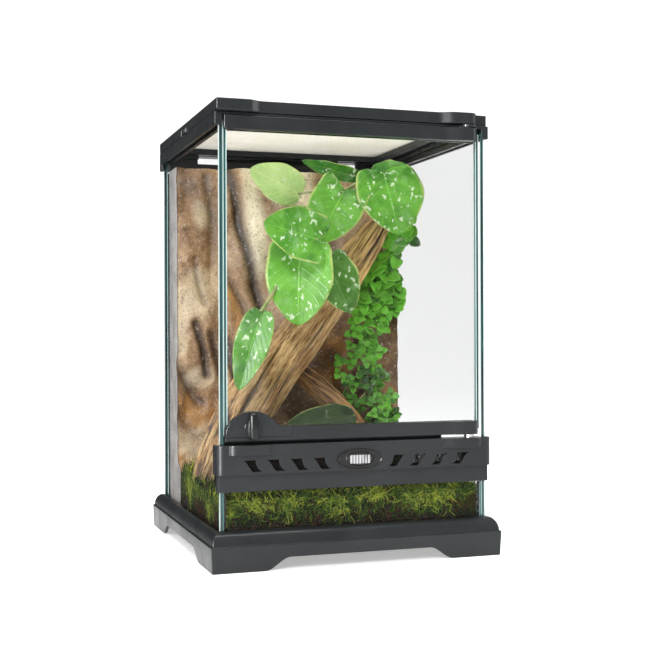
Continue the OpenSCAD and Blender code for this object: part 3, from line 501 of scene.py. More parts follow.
def leaf_skin(name, deep, bright, flecks, edge, vary=0.5):
    """Waxy leaf: u runs across from 0 to 1, v from base to tip."""
    m = Nodes(name, 0.33, Specular_IOR_Level=0.25)
    p = m.place()
    u, v, _ = m.split(m.new("UVMap", uv_map="leaf").outputs[0])
    side = m.math("ABSOLUTE", m.minus(m.times(u, 2.0), 1.0))
    tone = m.value("tone")
    cloud = m.noise(p, 70, 4, 0.6, 0.3)
    light = m.plus(m.times(cloud, 0.8), m.times(tone, vary))
    green = m.mix(m.span(light, 0.35, 0.95), deep, bright)
    # painted shade near the leaf base, where the blade meets its stalk
    shade = m.times(m.span(v, 0.02, 0.34, 1, 0), m.span(m.noise(p, 60, 3), 0.38, 0.58))
    green = m.mix(m.times(shade, 0.6), green, tuple(c * 0.55 for c in deep))
    vein = m.math("FRACT", m.minus(m.times(v, 9.0), m.times(side, 3.2)))
    line = m.plus(m.span(vein, 0.0, 0.12, 1, 0), m.span(vein, 0.88, 1.0, 0, 1))
    middle = m.span(side, 0.0, 0.05, 1, 0)
    line = m.math("MAXIMUM", m.times(line, 0.35), m.times(middle, 0.8))
    green = m.mix(m.times(line, 0.55), green, tuple(min(1, c * 1.5 + 0.04) for c in bright))
    if flecks:
        run = m.stretch(p, (1.0, 1.0, 0.75))
        where = m.span(m.noise(p, 55, 2), 0.44, 0.58)
        small = m.times(m.span(m.noise(run, 300, 1, 0.4), 0.60, 0.68), where)
        large = m.times(m.span(m.noise(run, 165, 2, 0.5), 0.66, 0.73), 0.9)
        spots = m.math("MAXIMUM", small, large)
        green = m.mix(m.times(spots, flecks), green, (0.78, 0.90, 0.66))
        haze = m.times(m.span(m.noise(p, 95, 3), 0.5, 0.75), 0.35 * flecks)
        green = m.mix(haze, green, (0.42, 0.70, 0.32))
    lip = m.times(m.span(side, 0.90, 0.97), m.span(m.noise(p, 130, 3), 0.36, 0.56))
    green = m.mix(m.times(lip, edge), green, (0.55, 0.66, 0.20))
    m.colour(green)
    m.roughness(m.span(cloud, 0.3, 0.7, 0.38, 0.54))
    m.bump((m.times(line, -1.0), 0.0004), (m.noise(p, 300, 3), 0.00025))
    return m.mat


def moss_skin():
    m = Nodes("moss_strand", 0.9, Specular_IOR_Level=0.1)
    p = m.place()
    colour = m.ramp(
        m.plus(m.value("tone"), m.times(m.minus(m.noise(p, 60, 3), 0.5), 0.6)),
        (0.06, (0.085, 0.026, 0.006)),
        (0.22, (0.006, 0.014, 0.002)),
        (0.46, (0.017, 0.055, 0.0035)),
        (0.70, (0.064, 0.145, 0.007)),
        (0.94, (0.38, 0.45, 0.04)),
    )
    # painted shade: strands darken deep in the moss, by their depth
    m.colour(m.mix(m.times(m.value("depth"), 0.8), colour, (0.004, 0.005, 0.002)))
    return m.mat


def soil_skin():
    m = Nodes("damp_soil", 0.9, Specular_IOR_Level=0.1)
    p = m.place()
    crumbs = m.cells(p, 420)
    base = m.ramp(
        m.noise(p, 180, 6, 0.7),
        (0.3, (0.008, 0.006, 0.004)),
        (0.55, (0.035, 0.022, 0.012)),
        (0.72, (0.12, 0.06, 0.025)),
    )
    m.colour(m.mix(m.span(crumbs, 0.0, 0.18, 0.4, 0), base, (0.045, 0.032, 0.020)))
    m.bump((crumbs, 0.0012), (m.noise(p, 240, 5), 0.0015))
    return m.mat


CHARCOAL = plastic("charcoal_plastic", (0.0115, 0.0135, 0.0148), (0.0165, 0.0195, 0.021), 0.34, 0.00005)
DARK = plastic("dark_plastic", (0.008, 0.009, 0.010), (0.013, 0.0145, 0.016), 0.24, 0.00003)
STEEL = plain(
    "pin_steel", 0.25, (300, 3), (0.35, 0.65), (0.465, 0.465, 0.48), (0.62, 0.62, 0.64), (500, 2, 0.00003),
    (1, 1, 0.2), Metallic=1.0,
)
FOLIAGE = leaf_skin("vine_leaf", (0.022, 0.18, 0.010), (0.17, 0.49, 0.045), 0.85, 0.8)
PALE_LEAF = leaf_skin("pale_leaf", (0.20, 0.42, 0.085), (0.55, 0.74, 0.27), 0.25, 1.0)
DEEP_LEAF = leaf_skin("deep_leaf", (0.016, 0.075, 0.008), (0.07, 0.20, 0.022), 0.5, 0.8)
BROAD_LEAF = leaf_skin("broad_leaf", (0.006, 0.019, 0.002), (0.026, 0.060, 0.006), 0.12, 0.5)
SMALL_LEAF = leaf_skin("small_leaf", (0.004, 0.035, 0.004), (0.19, 0.62, 0.05), 0, 0.5, 0.8)
STEM = plain(
    "stem_skin", 0.5, (110, 4), (0.35, 0.65), (0.16, 0.27, 0.05), (0.42, 0.40, 0.16), (500, 3, 0.0003)
)
RUBBER = plain("rubber", 0.75, (90, 3), (), (0.016, 0.016, 0.017), (0.045, 0.045, 0.047), (700, 3, 0.0001))
# cream wire, its colour pushed near white: partly painted light, standing for the light that shines down
# through the screen
LID_WIRE = plain(
    "mesh_wire", 0.5, (30, 4), (0.3, 0.7), (0.94, 0.90, 0.80), (1.0, 0.97, 0.90), (1500, 2, 0.00005)
)
VENT_WIRE = plain(
    "vent_sheet", 0.9, (200, 3), (), (0.002, 0.002, 0.002), (0.010, 0.010, 0.010), (900, 2, 0.0001),
    Specular_IOR_Level=0.05,
)


# ---------- frame parts: the same solids with rounded edges ----------
# planes that cut faces with holes into plain ones, so that they can be rounded cleanly
CUTS = {
    "front_rail": ("z71.4", "y-97.5", "x-77.5"),
    "top_frame": ("y-101.5", "z309.2", "x86.5", "x-99.4", "x99.4"),
    "lid_frame": ("x-98", "x98"),
    "door_bottom_rail": ("z97", "y-101.5", "x-77.5"),
    "door_top_rail": ("y-101.5", "x86.5"),
    "badge_rim": ("z73.6",),
    "badge_plate": ("z73.6",),
    "latch_knob": ("z97", "x-77.5"),
    "latch_cam": ("z97", "x-77.5"),
}


def rounded(name, width, mat, clamp=False, soft=None):
    """A copy of a CAD node with its sharp edges rounded inwards, on the same faces.
    soft: a test of an edge's two ends in millimetres, and the larger radius of those edges."""
    me = frame["nodes"][name].data.copy()
    bm = bmesh.new()
    bm.from_mesh(me)
    bmesh.ops.remove_doubles(bm, verts=bm.verts, dist=2e-6)
    for cut in ("x0", "y0") + CUTS.get(name, ()):
        normal = [float(cut[0] == axis) for axis in "xyz"]
        found = bmesh.ops.bisect_plane(
            bm,
            geom=bm.verts[:] + bm.edges[:] + bm.faces[:],
            dist=1e-6,
            plane_co=[n * float(cut[1:]) * MM for n in normal],
            plane_no=normal,
        )
        for g in found["geom_cut"]:
            if isinstance(g, bmesh.types.BMEdge):
                g.seam = True
    bmesh.ops.dissolve_limit(
        bm, angle_limit=math.radians(1.0), verts=bm.verts, edges=bm.edges, delimit={"SEAM"}
    )
    if soft:
        edges = [e for e in bm.edges if soft[0](*(v.co / MM for v in e.verts)) and e.calc_face_angle(0) > 0.5]
        bmesh.ops.bevel(bm, geom=edges, offset=soft[1] * MM, segments=5, profile=0.5, affect="EDGES")
    bm.to_mesh(me)
    bm.free()
    for key in ("custom_normal", "sharp_edge", "sharp_face"):
        if key in me.attributes:
            me.attributes.remove(me.attributes[key])
    me.materials.clear()
    me.materials.append(mat)
    me.shade_smooth()
    obj = add_object(name + "_moulded", me)
    b = obj.modifiers.new("edges", "BEVEL")
    b.width = width * MM
    b.segments = 2
    b.limit_method = "ANGLE"
    b.angle_limit = math.radians(28)
    b.harden_normals = True
    b.use_clamp_overlap = clamp
    b.miter_outer = "MITER_ARC"
    body = next(k for k, v in frame["record"]["behaviour"]["bodies"].items() if name in v)
    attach(obj, body)
    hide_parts(name)


def paint(mat, *names):
    for n in names:
        obj = frame["nodes"][n]
        obj.data.materials.clear()
        obj.data.materials.append(mat)


for n, w in (
    ("base_plinth", 0.7), ("front_rail", 0.4), ("top_frame", 0.35), ("lid_frame", 0.7),
    ("door_top_rail", 0.5), ("door_bottom_rail", 0.5), ("screen_retainer", 0.5),
):
    rounded(n, w, CHARCOAL, clamp=n == "base_plinth")
KNOB_X, GRIP_HALF, GRIP_BACK, HAIR = -77.5, 2.8, -106.1, 0.01


def grip_edge(a, b):
    """An edge on either flank of the latch grip, in front of the boss."""
    flank = abs(abs(a.x - KNOB_X) - GRIP_HALF) < HAIR
    return flank and abs(a.x - b.x) < HAIR and max(a.y, b.y) < GRIP_BACK


rounded("latch_knob", 0.35, DARK, soft=(grip_edge, 1.5))
for n, w in (
    ("latch_cam", 0.3), ("left_lid_lock", 0.2), ("right_lid_lock", 0.2),
    ("left_inlet_shutter", 0.25), ("right_inlet_shutter", 0.25),
):
    rounded(n, w, DARK)
GLOSS = plastic("badge_gloss", (0.006, 0.006, 0.007), (0.010, 0.010, 0.011), 0.16, 0.00001)
rounded("badge_rim", 0.3, GLOSS)
rounded("badge_plate", 0.15, badge_face())
paint(STEEL, "lower_hinge_pin", "upper_hinge_pin", "latch_screw")
paint(sealant(), "sealant_beads")
paint(RUBBER, "rubber_feet")
# pale bands on the glass edges and along the door pane's upright sides are painted highlights
paint(glass("left_glass", "X", [(0, EDGE_GLINT), (0.26, INK), (0.86, TEAL)]), "left_pane")
paint(glass("right_glass", "X", [(0, TEAL), (0.14, INK), (0.74, EDGE_GLINT)]), "right_pane")
paint(glass("face_glass", "Y", [(0, TEAL), (0.7, EDGE_GLINT)]), "rear_pane", "front_pane")
DOOR_ENDS = (0.0135, [(0, EDGE_GLINT), (0.16, INK), (0.6, TEAL), (0.76, EDGE_GLINT)])
paint(glass("door_glass", "Y", [(0, EDGE_GLINT), (0.5, TEAL)], DOOR_ENDS), "door_pane")
paint(glass("floor_glass", "Z", [(0, TEAL)]), "bottom_pane")


# ---------- screens: woven wires ----------
def box_mesh(a, b):
    verts = np.array([[x, y, z] for x in (a[0], b[0]) for y in (a[1], b[1]) for z in (a[2], b[2])])
    return verts, [[0, 1, 3, 2], [4, 6, 7, 5], [0, 4, 5, 1], [2, 3, 7, 6], [0, 2, 6, 4], [1, 5, 7, 3]]


def weave(heap, lo, hi, thin, pitch, r, deep):
    """Two layers of crossing wires between lo and hi, waving over each other."""
    mid = (lo[thin] + hi[thin]) / 2
    for axis, other in ((a, b) for a in range(3) for b in range(3) if len({a, b, thin}) == 3):
        n = int((hi[axis] - lo[axis] - 1) / pitch)
        steps = int((hi[other] - lo[other] - 0.6) / pitch)
        for i in range(n):
            path = np.zeros((steps + 1, 3))
            path[:, axis] = (lo[axis] + hi[axis]) / 2 + (i - (n - 1) / 2) * pitch
            path[:, other] = (lo[other] + hi[other]) / 2 + (np.arange(steps + 1) - steps / 2) * pitch
            path[:, thin] = mid + deep * (1 - 2 * ((np.arange(steps + 1) + i + (axis < other)) % 2)) * 0.95
            section = np.zeros((4, 3))
            section[0, thin], section[2, thin] = deep, -deep
            section[1, axis], section[3, axis] = r, -r
            verts = (path[:, None] + section[None]).reshape(-1, 3)
            heap.add(verts, grid_faces(len(path), 4, True))


def hem(heap, lo, hi, axes, width):
    """Flat bars along the edges of a screen."""
    for axis in axes:
        for far in (False, True):
            a, b = lo.copy(), hi.copy()
            if far:
                a[axis] = hi[axis] - width
            else:
                b[axis] = lo[axis] + width
            heap.add(*box_mesh(a, b))


HEM, HEM_HALF, VENT_HEM, BADGE_HALF = 3.4, 0.55, 0.7, 18.8


def lid_screen():
    lo, hi = node_box("lid_screen")
    heap = Heap()
    weave(heap, lo, hi, 2, 1.9, 0.25, 0.29)
    mid = (lo[2] + hi[2]) / 2
    lo[2], hi[2] = mid - HEM_HALF, mid + HEM_HALF
    hem(heap, lo, hi, (0, 1), HEM)
    heap.piece("woven_screen", LID_WIRE, nodes=["lid_screen"], body="lid", slot="screen_mesh")


def vent_screens():
    lo, hi = node_box("vent_screens")
    heap = Heap()
    for x0, x1 in ((lo[0], -BADGE_HALF), (BADGE_HALF, hi[0])):
        a, b = np.array([x0, lo[1], lo[2]]), np.array([x1, hi[1], hi[2]])
        weave(heap, a, b, 1, 0.56, 0.235, 0.12)
        hem(heap, a, b, (0, 2), VENT_HEM)
    heap.piece("fine_vent_weave", VENT_WIRE, nodes=["vent_screens"], slot="vent_mesh")


lid_screen()
vent_screens()

# ---------- rock wall ----------
# grooves: points [x, z] along each, its width and its depth
GROOVES = [
    ([(-97, 289), (-88, 275)], 4.5, 3.5),
    ([(-73, 290), (-66, 257)], 4.0, 4.5),
    ([(-82, 223), (-75, 188)], 2.6, 3.5),
    ([(-82, 171), (-77, 152), (-71, 129)], 3.0, 7.5),
    ([(-70, 163), (-60, 129)], 3.4, 6.0),
    ([(-55, 156), (-50, 135), (-44, 108)], 4.5, 8.0),
    ([(-97, 141), (-86, 122), (-76, 106)], 3.6, 5.0),
    ([(-55, 300), (-47, 272), (-39, 239), (-30, 202), (-25, 180)], 5.0, 8.0),
    ([(-52, 212), (-43, 190), (-33, 163)], 3.2, 4.5),
    ([(-67, 253), (-65, 219)], 4.0, 3.0),
    ([(-92, 96), (-80, 78)], 5.0, 3.5),
    ([(-8, 290), (4, 262), (10, 240)], 5.0, 5.0),
    ([(30, 290), (38, 255), (34, 225)], 6.0, 4.0),
    ([(0, 230), (14, 205), (34, 186)], 5.0, 5.0),
    ([(-20, 120), (-6, 96), (10, 84)], 6.0, 5.0),
    ([(52, 200), (60, 170), (50, 140)], 5.0, 4.0),
    ([(20, 150), (36, 128), (44, 100)], 5.0, 4.0),
]


def near_line(x, z, points):
    best = np.full(x.shape, 1e9)
    for (x0, z0), (x1, z1) in zip(points[:-1], points[1:]):
        dx, dz = x1 - x0, z1 - z0
        t = np.clip(((x - x0) * dx + (z - z0) * dz) / (dx * dx + dz * dz), 0, 1)
        best = np.minimum(best, np.hypot(x - x0 - t * dx, z - z0 - t * dz))
    return best


ROCK_FACE, ROCK_BACK, ROCK_FOOT = 62, 82, 52  # mean face, deepest face (Y) and top of the buried foot (Z)


def rock_wall():
    lo, hi = node_box("rock_wall")
    cols, rows = 150, 206
    x, z = np.meshgrid(np.linspace(lo[0], hi[0], cols), np.linspace(lo[2], hi[2], rows))
    p = np.stack([x, 0 * x, z], -1)
    warp = np.stack([noise(p, 30, 1), 0 * x, noise(p, 30, 2)], -1) * 7
    lumps = 9.0 * (
        0.4 * np.sin(np.radians(x * 3.1 + z * 1.9 + 30 * np.sin(np.radians(z * 2.2))))
        + 0.25 * np.sin(np.radians(x * 5.3 - z * 3.7 + 40))
        + 0.15 * np.sin(np.radians(z * 7.1 + x * 1.3))
        + 0.6 * np.exp(-(((x + 36 + 6 * np.sin(np.radians(z * 1.6))) / 13) ** 2))
        - 0.6 * np.exp(-(((x + 62 + 4 * np.sin(np.radians(z * 2))) / 7) ** 2))
    )
    groove = np.zeros(x.shape)
    q = p + warp * 0.35
    for points, width, depth in GROOVES:
        d = near_line(q[..., 0], q[..., 2], points)
        groove = np.maximum(groove, depth * np.exp(-((d / width) ** 2)))
    mid = 2.4 * fbm(p + warp, 22, 3, 5)
    small = 0.7 * fbm(p, 6, 3, 9)
    edge = np.clip(np.minimum(x - lo[0], hi[0] - x) / 8, 0.0, 1)
    depth = edge * lumps + mid * (0.3 + 0.7 * edge) + small - groove
    y = np.clip(ROCK_FACE - depth, lo[1] + 0.4, ROCK_BACK)
    foot = smooth((z - ROCK_FOOT) / 8)
    y = y * foot + (lo[1] + 0.5 - small * 0.4) * (1 - foot)
    y = np.maximum(y, lo[1] + 0.02)
    # painted shade in the grooves, darkest where they cut deepest
    hollow = np.clip(groove / 7.5, 0, 1) ** 1.1
    # pale ridge: pale rock colour on the raised ridge, partly painted light
    ridge = np.abs(x + 32 - (z - 250) * -0.12 + 4 * noise(p, 25, 21))
    pale = smooth(1.15 - ridge / 12) * smooth((z - 195) / 25)
    pale = np.maximum(pale, 0.42 * smooth((noise(p + warp, 26, 31) - 0.15) / 0.5) * (x < -55))
    pale = np.maximum(pale, 0.9 * smooth((x + 20) / 10) * smooth((z - 262) / 12) * smooth((26 - x) / 10))
    ochre = smooth(noise(p + warp, 34, 41) / 0.5) * smooth((190 - z) / 60 + 0.35)
    ochre = np.maximum(ochre, smooth(1 - near_line(x, z, [(-56, 205), (-46, 175), (-38, 150)]) / 9))
    verts = np.stack([x, y, z], -1).reshape(-1, 3)
    faces = grid_faces(rows, cols)
    rim = grid_rim(rows, cols)
    # painted shade along the rock's left and right edges
    hollow = np.maximum(hollow, 0.9 * (np.minimum(x - lo[0], hi[0] - x) < 0.7))
    # painted shadow: the rock darkened under the log and behind the creeping plant
    cast_shadow = smooth((x - 6 - (z - 158) * 0.735) / 16) * smooth((268 - z) / 30)
    hollow = np.maximum(hollow, cast_shadow * (0.72 + 0.35 * noise(p + warp, 16, 51)).clip(0, 1))
    edge_ring = verts[rim]
    back = edge_ring.copy()
    back[:, 1] = hi[1]
    n = len(verts)
    k = len(rim)
    a, b = n + np.arange(k), n + (np.arange(k) + 1) % k
    faces += np.stack([b, a, a + k, b + k], -1).tolist()
    faces.append((n + k + np.arange(k))[::-1].tolist())
    data = {"hollow": (hollow, 0), "pale": (pale, 0), "ochre": (ochre, 0), "side": (0 * x, 1)}
    data = {key: np.concatenate([v.ravel(), np.full(2 * k, rest)]) for key, (v, rest) in data.items()}
    piece("rock_relief", np.concatenate([verts, edge_ring, back]), faces, rock(), nodes=["rock_wall"],
          slot="rock_foam", data=data)


rock_wall()


# ---------- wood ----------
def limb(name, path, radii, rings, sides, mat, node, seed, rugged, splinter):
    """Weathered limb: grain ridges and cracks that run along it, and a torn upper end."""
    pts, t = resample(path, rings)
    _, u, v = frames(pts)
    length = np.linalg.norm(np.diff(pts, axis=0), axis=1).sum()
    d = distances(path)
    r = np.interp(t, d / d[-1], radii)
    a = np.arange(sides) * 2 * math.pi / sides
    A, T = np.meshgrid(a, t)
    mean = float(np.mean(radii))
    twist = A + 0.5 * T
    g = np.stack([np.cos(twist) * mean, np.sin(twist) * mean, T * length * 0.09], -1)
    ridges = fbm(g, 5.5, 4, seed, 0.6)
    crack = np.clip(1 - np.abs(noise(g * [1, 1, 0.55], 4.2, seed + 7)) / 0.16, 0, 1)
    crack *= smooth((noise(g * [1, 1, 1.6], 9, seed + 9) + 0.15) / 0.4)
    lobes = 0.05 * (np.sin(3 * A + T * 9) + 0.6 * np.sin(5 * A - T * 7))
    shape = r[:, None] * (1 + lobes) + rugged * ridges - rugged * 1.9 * crack
    ring = np.cos(A)[..., None] * u[:, None] + np.sin(A)[..., None] * v[:, None]
    verts = pts[:, None] + shape[..., None] * ring
    way = unit(pts[-1] - pts[-3])
    pull = smooth((T - (1 - 9 / length)) / (9 / length)) * (noise(g, 3.0, seed + 3) * 0.5 - 0.5) * splinter
    verts = verts + pull[..., None] * way
    n = rings * sides
    verts = np.concatenate([verts.reshape(-1, 3), [pts[0]], [pts[-1] - way * splinter * 0.7]])
    faces = grid_faces(rings, sides, True)
    faces += [[n, (j + 1) % sides, j] for j in range(sides)]
    faces += [[n + 1, n - sides + j, n - sides + (j + 1) % sides] for j in range(sides)]
    # painted shade: cracks and the hollows between grain ridges, and the end caps
    hollow = np.clip(crack * 1.1 + np.clip(-ridges - 0.25, 0, 1) * 1.3, 0, 1)
    warm = 0.98 * smooth((T - 0.55) / 0.25) + 0.45 * smooth(1 - np.abs(T - 0.32) / 0.14)
    data = {
        "hollow": np.concatenate([hollow.ravel(), [0.4, 0.8]]),
        "warm": np.concatenate([warm.ravel(), [0, 0.7]]),
        "grain": np.concatenate([g.reshape(-1, 3), [[0, 0, 0], [0, 0, 0]]]),
    }
    lo, _ = node_box(node)
    verts[:, 2] = np.maximum(verts[:, 2], lo[2])
    piece(name, verts, faces, mat, nodes=[node], slot="driftwood", data=data)


SEAT = 46  # height at which wood and plants stand in the soil
LOG = [
    [-84, 4, SEAT], [-84, 4, SEAT + 5], [-78, 4, 64], [-68, 4, 80], [-58, 5, 95], [-48, 6, 110],
    [-36, 8, 126], [-23, 10, 142], [-9, 12, 158], [6, 15, 176], [21, 18, 194], [35, 22, 211],
    [48, 25, 227], [60, 28, 242], [69, 31, 254],
]
LOG_R = [20 * k for k in (0.5, 0.56, 0.72, 0.9, 1, 1, 0.96, 0.9, 0.86, 0.8, 0.75, 0.7, 0.63, 0.54, 0.4)]
BRANCH = [
    [-3, 31, 131], [12, 31, 119], [28, 30, 105], [42, 30, 90], [52, 30, 72],
    [56, 30, SEAT + 4], [56, 30, SEAT],
]
BRANCH_R = [9 * k for k in (0.8, 1, 1.05, 1, 0.95, 0.95, 1)]
LOG_WOOD = wood("driftwood_tan", (0.10, 0.040, 0.012), (0.55, 0.28, 0.08), (1.0, 0.72, 0.34))
BRANCH_WOOD = wood("driftwood_brown", (0.045, 0.018, 0.006), (0.32, 0.14, 0.035), (0.70, 0.42, 0.15))
limb("log", LOG, LOG_R, 300, 190, LOG_WOOD, "driftwood_log", 3, 1.5, 6)
limb("branch", BRANCH, BRANCH_R, 130, 96, BRANCH_WOOD, "driftwood_branch", 17, 0.8, 3)


# ---------- leaves ----------
def leaf_mesh(
    base, tip, facing, w, rows=22, cols=13, fold=0.16, droop=0.1, heart=0.0, seed=0, thick=0.45, wave=0.6
):
    """Upper and lower skin of a leaf, with u, v over its blade."""
    base, tip = np.asarray(base, float), np.asarray(tip, float)
    length = np.linalg.norm(tip - base)
    d = (tip - base) / length
    s = unit(np.cross(facing, d))
    up = np.cross(d, s)
    T, c = np.meshgrid(np.linspace(0, 1, rows), np.linspace(-1, 1, cols), indexing="ij")
    half = np.maximum(0.3, w / 2 * np.maximum(np.sin(math.pi * T**0.7), 0) ** 0.62)
    if heart:
        half = half + w / 2 * heart * 0.15 * np.exp(-(((T - 0.05) / 0.12) ** 2)) * smooth(T / 0.03)
    q = -c * half
    lobe = np.abs(c) ** 1.2 * (1.25 - 0.5 * np.abs(c) ** 3)
    along = length * (T - heart * 0.17 * lobe * np.exp(-((T / 0.25) ** 2)) * smooth(T / 0.04))
    ripple = wave * np.sin(T * 15 + seed) * np.abs(c) ** 3 * np.sign(c + 0.01) + wave * 0.5 * noise(
        np.stack([q, along, 0 * q + seed * 9], -1), 11, 3
    )
    dip = -0.35 * np.exp(-((c / 0.09) ** 2)) * (1 - T)
    calm = np.sin(math.pi * np.clip(T, 0.02, 1))
    rise = np.abs(q) * fold - droop * length * T**2 - 0.06 * (q**2) / max(w, 1) + ripple * calm + dip
    top = base + d * along[..., None] + s * q[..., None] + up * rise[..., None]
    low = top - up * thick
    n = rows * cols
    faces = [f[::-1] for f in grid_faces(rows, cols)]
    under = [[i + n for i in f[::-1]] for f in faces]
    rim = grid_rim(rows, cols)
    k = len(rim)
    sides = [[rim[i], rim[(i + 1) % k], rim[(i + 1) % k] + n, rim[i] + n] for i in range(k)]
    uv = np.stack([c * 0.5 + 0.5, T], -1).reshape(-1, 2)
    verts = np.concatenate([top.reshape(-1, 3), low.reshape(-1, 3)])
    return verts, faces + under + sides, np.concatenate([uv, uv])


class Leaves:
    """Gathers leaves into one piece, with u, v over each blade."""

    def __init__(self):
        self.heap, self.uv = Heap(), []

    def add(self, *args, tone=0.5, **options):
        verts, faces, uv = leaf_mesh(*args, **options)
        self.heap.add(verts, faces, tone=tone)
        self.uv.append(uv)

    def piece(self, name, mat, **options):
        obj = self.heap.piece(name, mat, **options)
        layer = obj.data.uv_layers.new(name="leaf")
        idx = np.zeros(len(obj.data.loops), np.int64)
        obj.data.loops.foreach_get("vertex_index", idx)
        layer.data.foreach_set("uv", np.concatenate(self.uv).astype(np.float32)[idx].ravel())


LOG_END = np.array(LOG[-1], float)
END_WAY = unit(LOG_END - np.array(LOG[-2], float))
VINE = [
    LOG_END + END_WAY * 0.2, LOG_END + END_WAY * 8, [72, 26, 276], [62, 14, 287], [44, 9, 285], [24, 8, 272],
    [6, 4, 254], [-8, -4, 236], [-24, -14, 214], [-40, -27, 194], [-53, -38, 178],
]
# base, tip, facing, width, stem point, heart, which skin, tone
VINE_LEAVES = [
    ([-2, 25, 274], [-42, 30, 296], [-0.2, -0.95, 0.25], 34, 5, 0.2, "pale", 0.7),
    ([28, 4, 277], [1, -10, 235], [-0.15, -0.9, 0.4], 44, 5, 1.6, "vine", 0.75),
    ([61, 4, 293], [68, -16, 243], [-0.1, -0.9, 0.42], 57, 3, 0.8, "vine", 0.6),
    ([-5, -33, 233], [-50, -44, 245], [-0.2, -0.95, 0.2], 42, 6, 1.3, "vine", 0.55),
    ([-17, -20, 226], [-24, -38, 170], [-0.25, -0.9, 0.3], 52, 7, 1.4, "vine", 0.9),
    ([4, -16, 220], [22, -31, 180], [0.1, -0.9, 0.4], 42, 7, 1.0, "deep", 0.8),
    ([49, 22, 290], [0, 28, 300], [-0.1, -0.8, -0.6], 15, 4, 0.2, "vine", 0.25),
    ([58, 18, 293], [86, 8, 300], [0, -0.85, 0.5], 19, 3, 0.4, "vine", 0.3),
    ([-51.7, -37.4, 179.6], [-73, -46, 122], [-0.35, -0.9, 0.15], 27, 10, 0.3, "vine", 0.5),
]


def vine():
    groups = {k: Leaves() for k in ("vine", "pale", "deep")}
    for i, (base, tip, facing, w, at, heart, skin, tone) in enumerate(VINE_LEAVES):
        groups[skin].add(
            base, tip, facing, w, rows=34, cols=21, heart=heart, seed=i * 2.3, tone=tone, wave=0.9
        )
    path, _ = resample(VINE, 70)
    wobble = np.stack([noise(path, 12, s) for s in (1, 2, 3)], -1) * 0.5
    wobble[0] = 0
    stems = Heap()
    stems.add(*tube(path + wobble, 1.5 + 0.2 * noise(path, 5, 4), 10))
    for base, tip, _, _, at, *_ in VINE_LEAVES:
        a, b = np.array(VINE[at], float), np.array(base, float)
        if np.linalg.norm(a - b) > 4:
            b = b + unit(np.array(tip, float) - b) * 3
            stalk = resample([a, (a + b) / 2 + [0, -2, 2], b], 14)[0]
            stems.add(*tube(stalk, np.linspace(1.1, 0.75, 14), 8))
    stems.piece("vine_stem", STEM, nodes=["leafy_vine"], slot="foliage")
    skins = {"vine": FOLIAGE, "pale": PALE_LEAF, "deep": DEEP_LEAF}
    for key, g in groups.items():
        g.piece("vine_leaves_" + key, skins[key], slot="foliage")


vine()

CREEPER = [
    [84, 43, SEAT], [84, 43, SEAT + 6], [86, 43, 76], [80, 43, 98], [68, 42, 122], [63, 41, 146],
    [70, 40, 170], [81, 41, 192], [86, 41, 212], [88, 41, 230],
]
CREEPER_HUB_X, CREEPER_TIP_X = 86, 92  # leaves stay left of these
SIDE_STEMS = [
    [[68, 42, 122], [58, 42, 128], [46, 43, 122], [38, 43, 108]],
    [[80, 43, 98], [70, 42, 92], [62, 42, 80], [66, 42, 66]],
    [[70, 40, 170], [60, 39, 180], [56, 39, 192], [60, 40, 204]],
    [[86, 43, 76], [90, 40, 66], [91, 38, 58]],
    [[81, 41, 192], [70, 38, 204], [68, 37, 222]],
    [[88, 41, 230], [86, 38, 246], [84, 34, 262], [85, 30, 276]],
    [[63, 41, 146], [52, 41, 150], [42, 43, 142], [36, 44, 130]],
    [[68, 42, 122], [58, 40, 112], [48, 42, 98], [46, 43, 84]],
    [[80, 43, 98], [72, 36, 104], [66, 34, 96], [74, 32, 84]],
    [[63, 41, 146], [54, 40, 160], [50, 40, 170]],
    [[88, 41, 230], [89, 33, 252], [88, 24, 268], [87, 16, 282]],
    [[88, 24, 268], [90, 18, 256], [90, 14, 244]],
]


def creeper():
    """Small rounded leaves in threes along each stem, larger ones near the top."""
    leaves, stems = Leaves(), Heap()
    paths = [(CREEPER, 1.4, 40, 0.08)] + [(s, 0.8, 11, 0.0) for s in SIDE_STEMS]
    i = 0
    for path, radius, count, first in paths:
        pts, _ = resample(path, 60)
        stems.add(*tube(pts, np.linspace(radius, radius * 0.7, len(pts)), 7))
        for k in range(count):
            i += 1
            at = first + (1 - first) * (k + 0.5) / count
            p = pts[int(at * (len(pts) - 1))]
            turn = math.radians(i * 137.5)
            size = 0.85 + 0.85 * float(smooth((p[2] - 150) / 60))
            out = np.array([math.cos(turn), -0.3 - 0.6 * rng.random(), 0.8 * math.sin(turn)])
            hub = p + out * (4 + 6 * rng.random())
            hub[0] = min(hub[0], CREEPER_HUB_X)
            stems.add(*tube([p, (p + hub) / 2 + [0, 0, 0.8], hub], [0.5, 0.45, 0.35], 5))
            facing = unit([-0.35 + 0.8 * (rng.random() - 0.5), -0.85, 0.4 + 0.8 * (rng.random() - 0.5)])
            spin = rng.random() * 6.28
            # painted light: leaves higher up are lighter, against the lid's shadow
            tone = 0.75 * rng.random() - 0.1 + 0.35 * noise(p, 30, 7) + 0.2 * smooth((p[2] - 170) / 60)
            tone = np.clip(tone, 0, 1)
            side = unit(np.cross(facing, [0, 0, 1]))
            for j in range(3):
                a = spin + j * 2.1 + 0.5 * (rng.random() - 0.5)
                way = unit(side * math.cos(a) + np.cross(side, facing) * math.sin(a) + facing * 0.2)
                reach = size * (6.2 + 2.5 * rng.random())
                tip = hub + way * reach
                if tip[0] > CREEPER_TIP_X:
                    continue
                own = float(np.clip(tone + 0.3 * rng.random(), 0, 1))
                leaves.add(
                    hub + way * 0.6, tip, facing, reach * 0.84,
                    rows=9, cols=7, fold=0.2, seed=i + j, thick=0.3, wave=0.2, tone=own,
                )
    stems.piece("creeper_stems", STEM, nodes=["creeping_plant"], slot="foliage")
    leaves.piece("creeper_leaves", SMALL_LEAF, slot="foliage")


creeper()


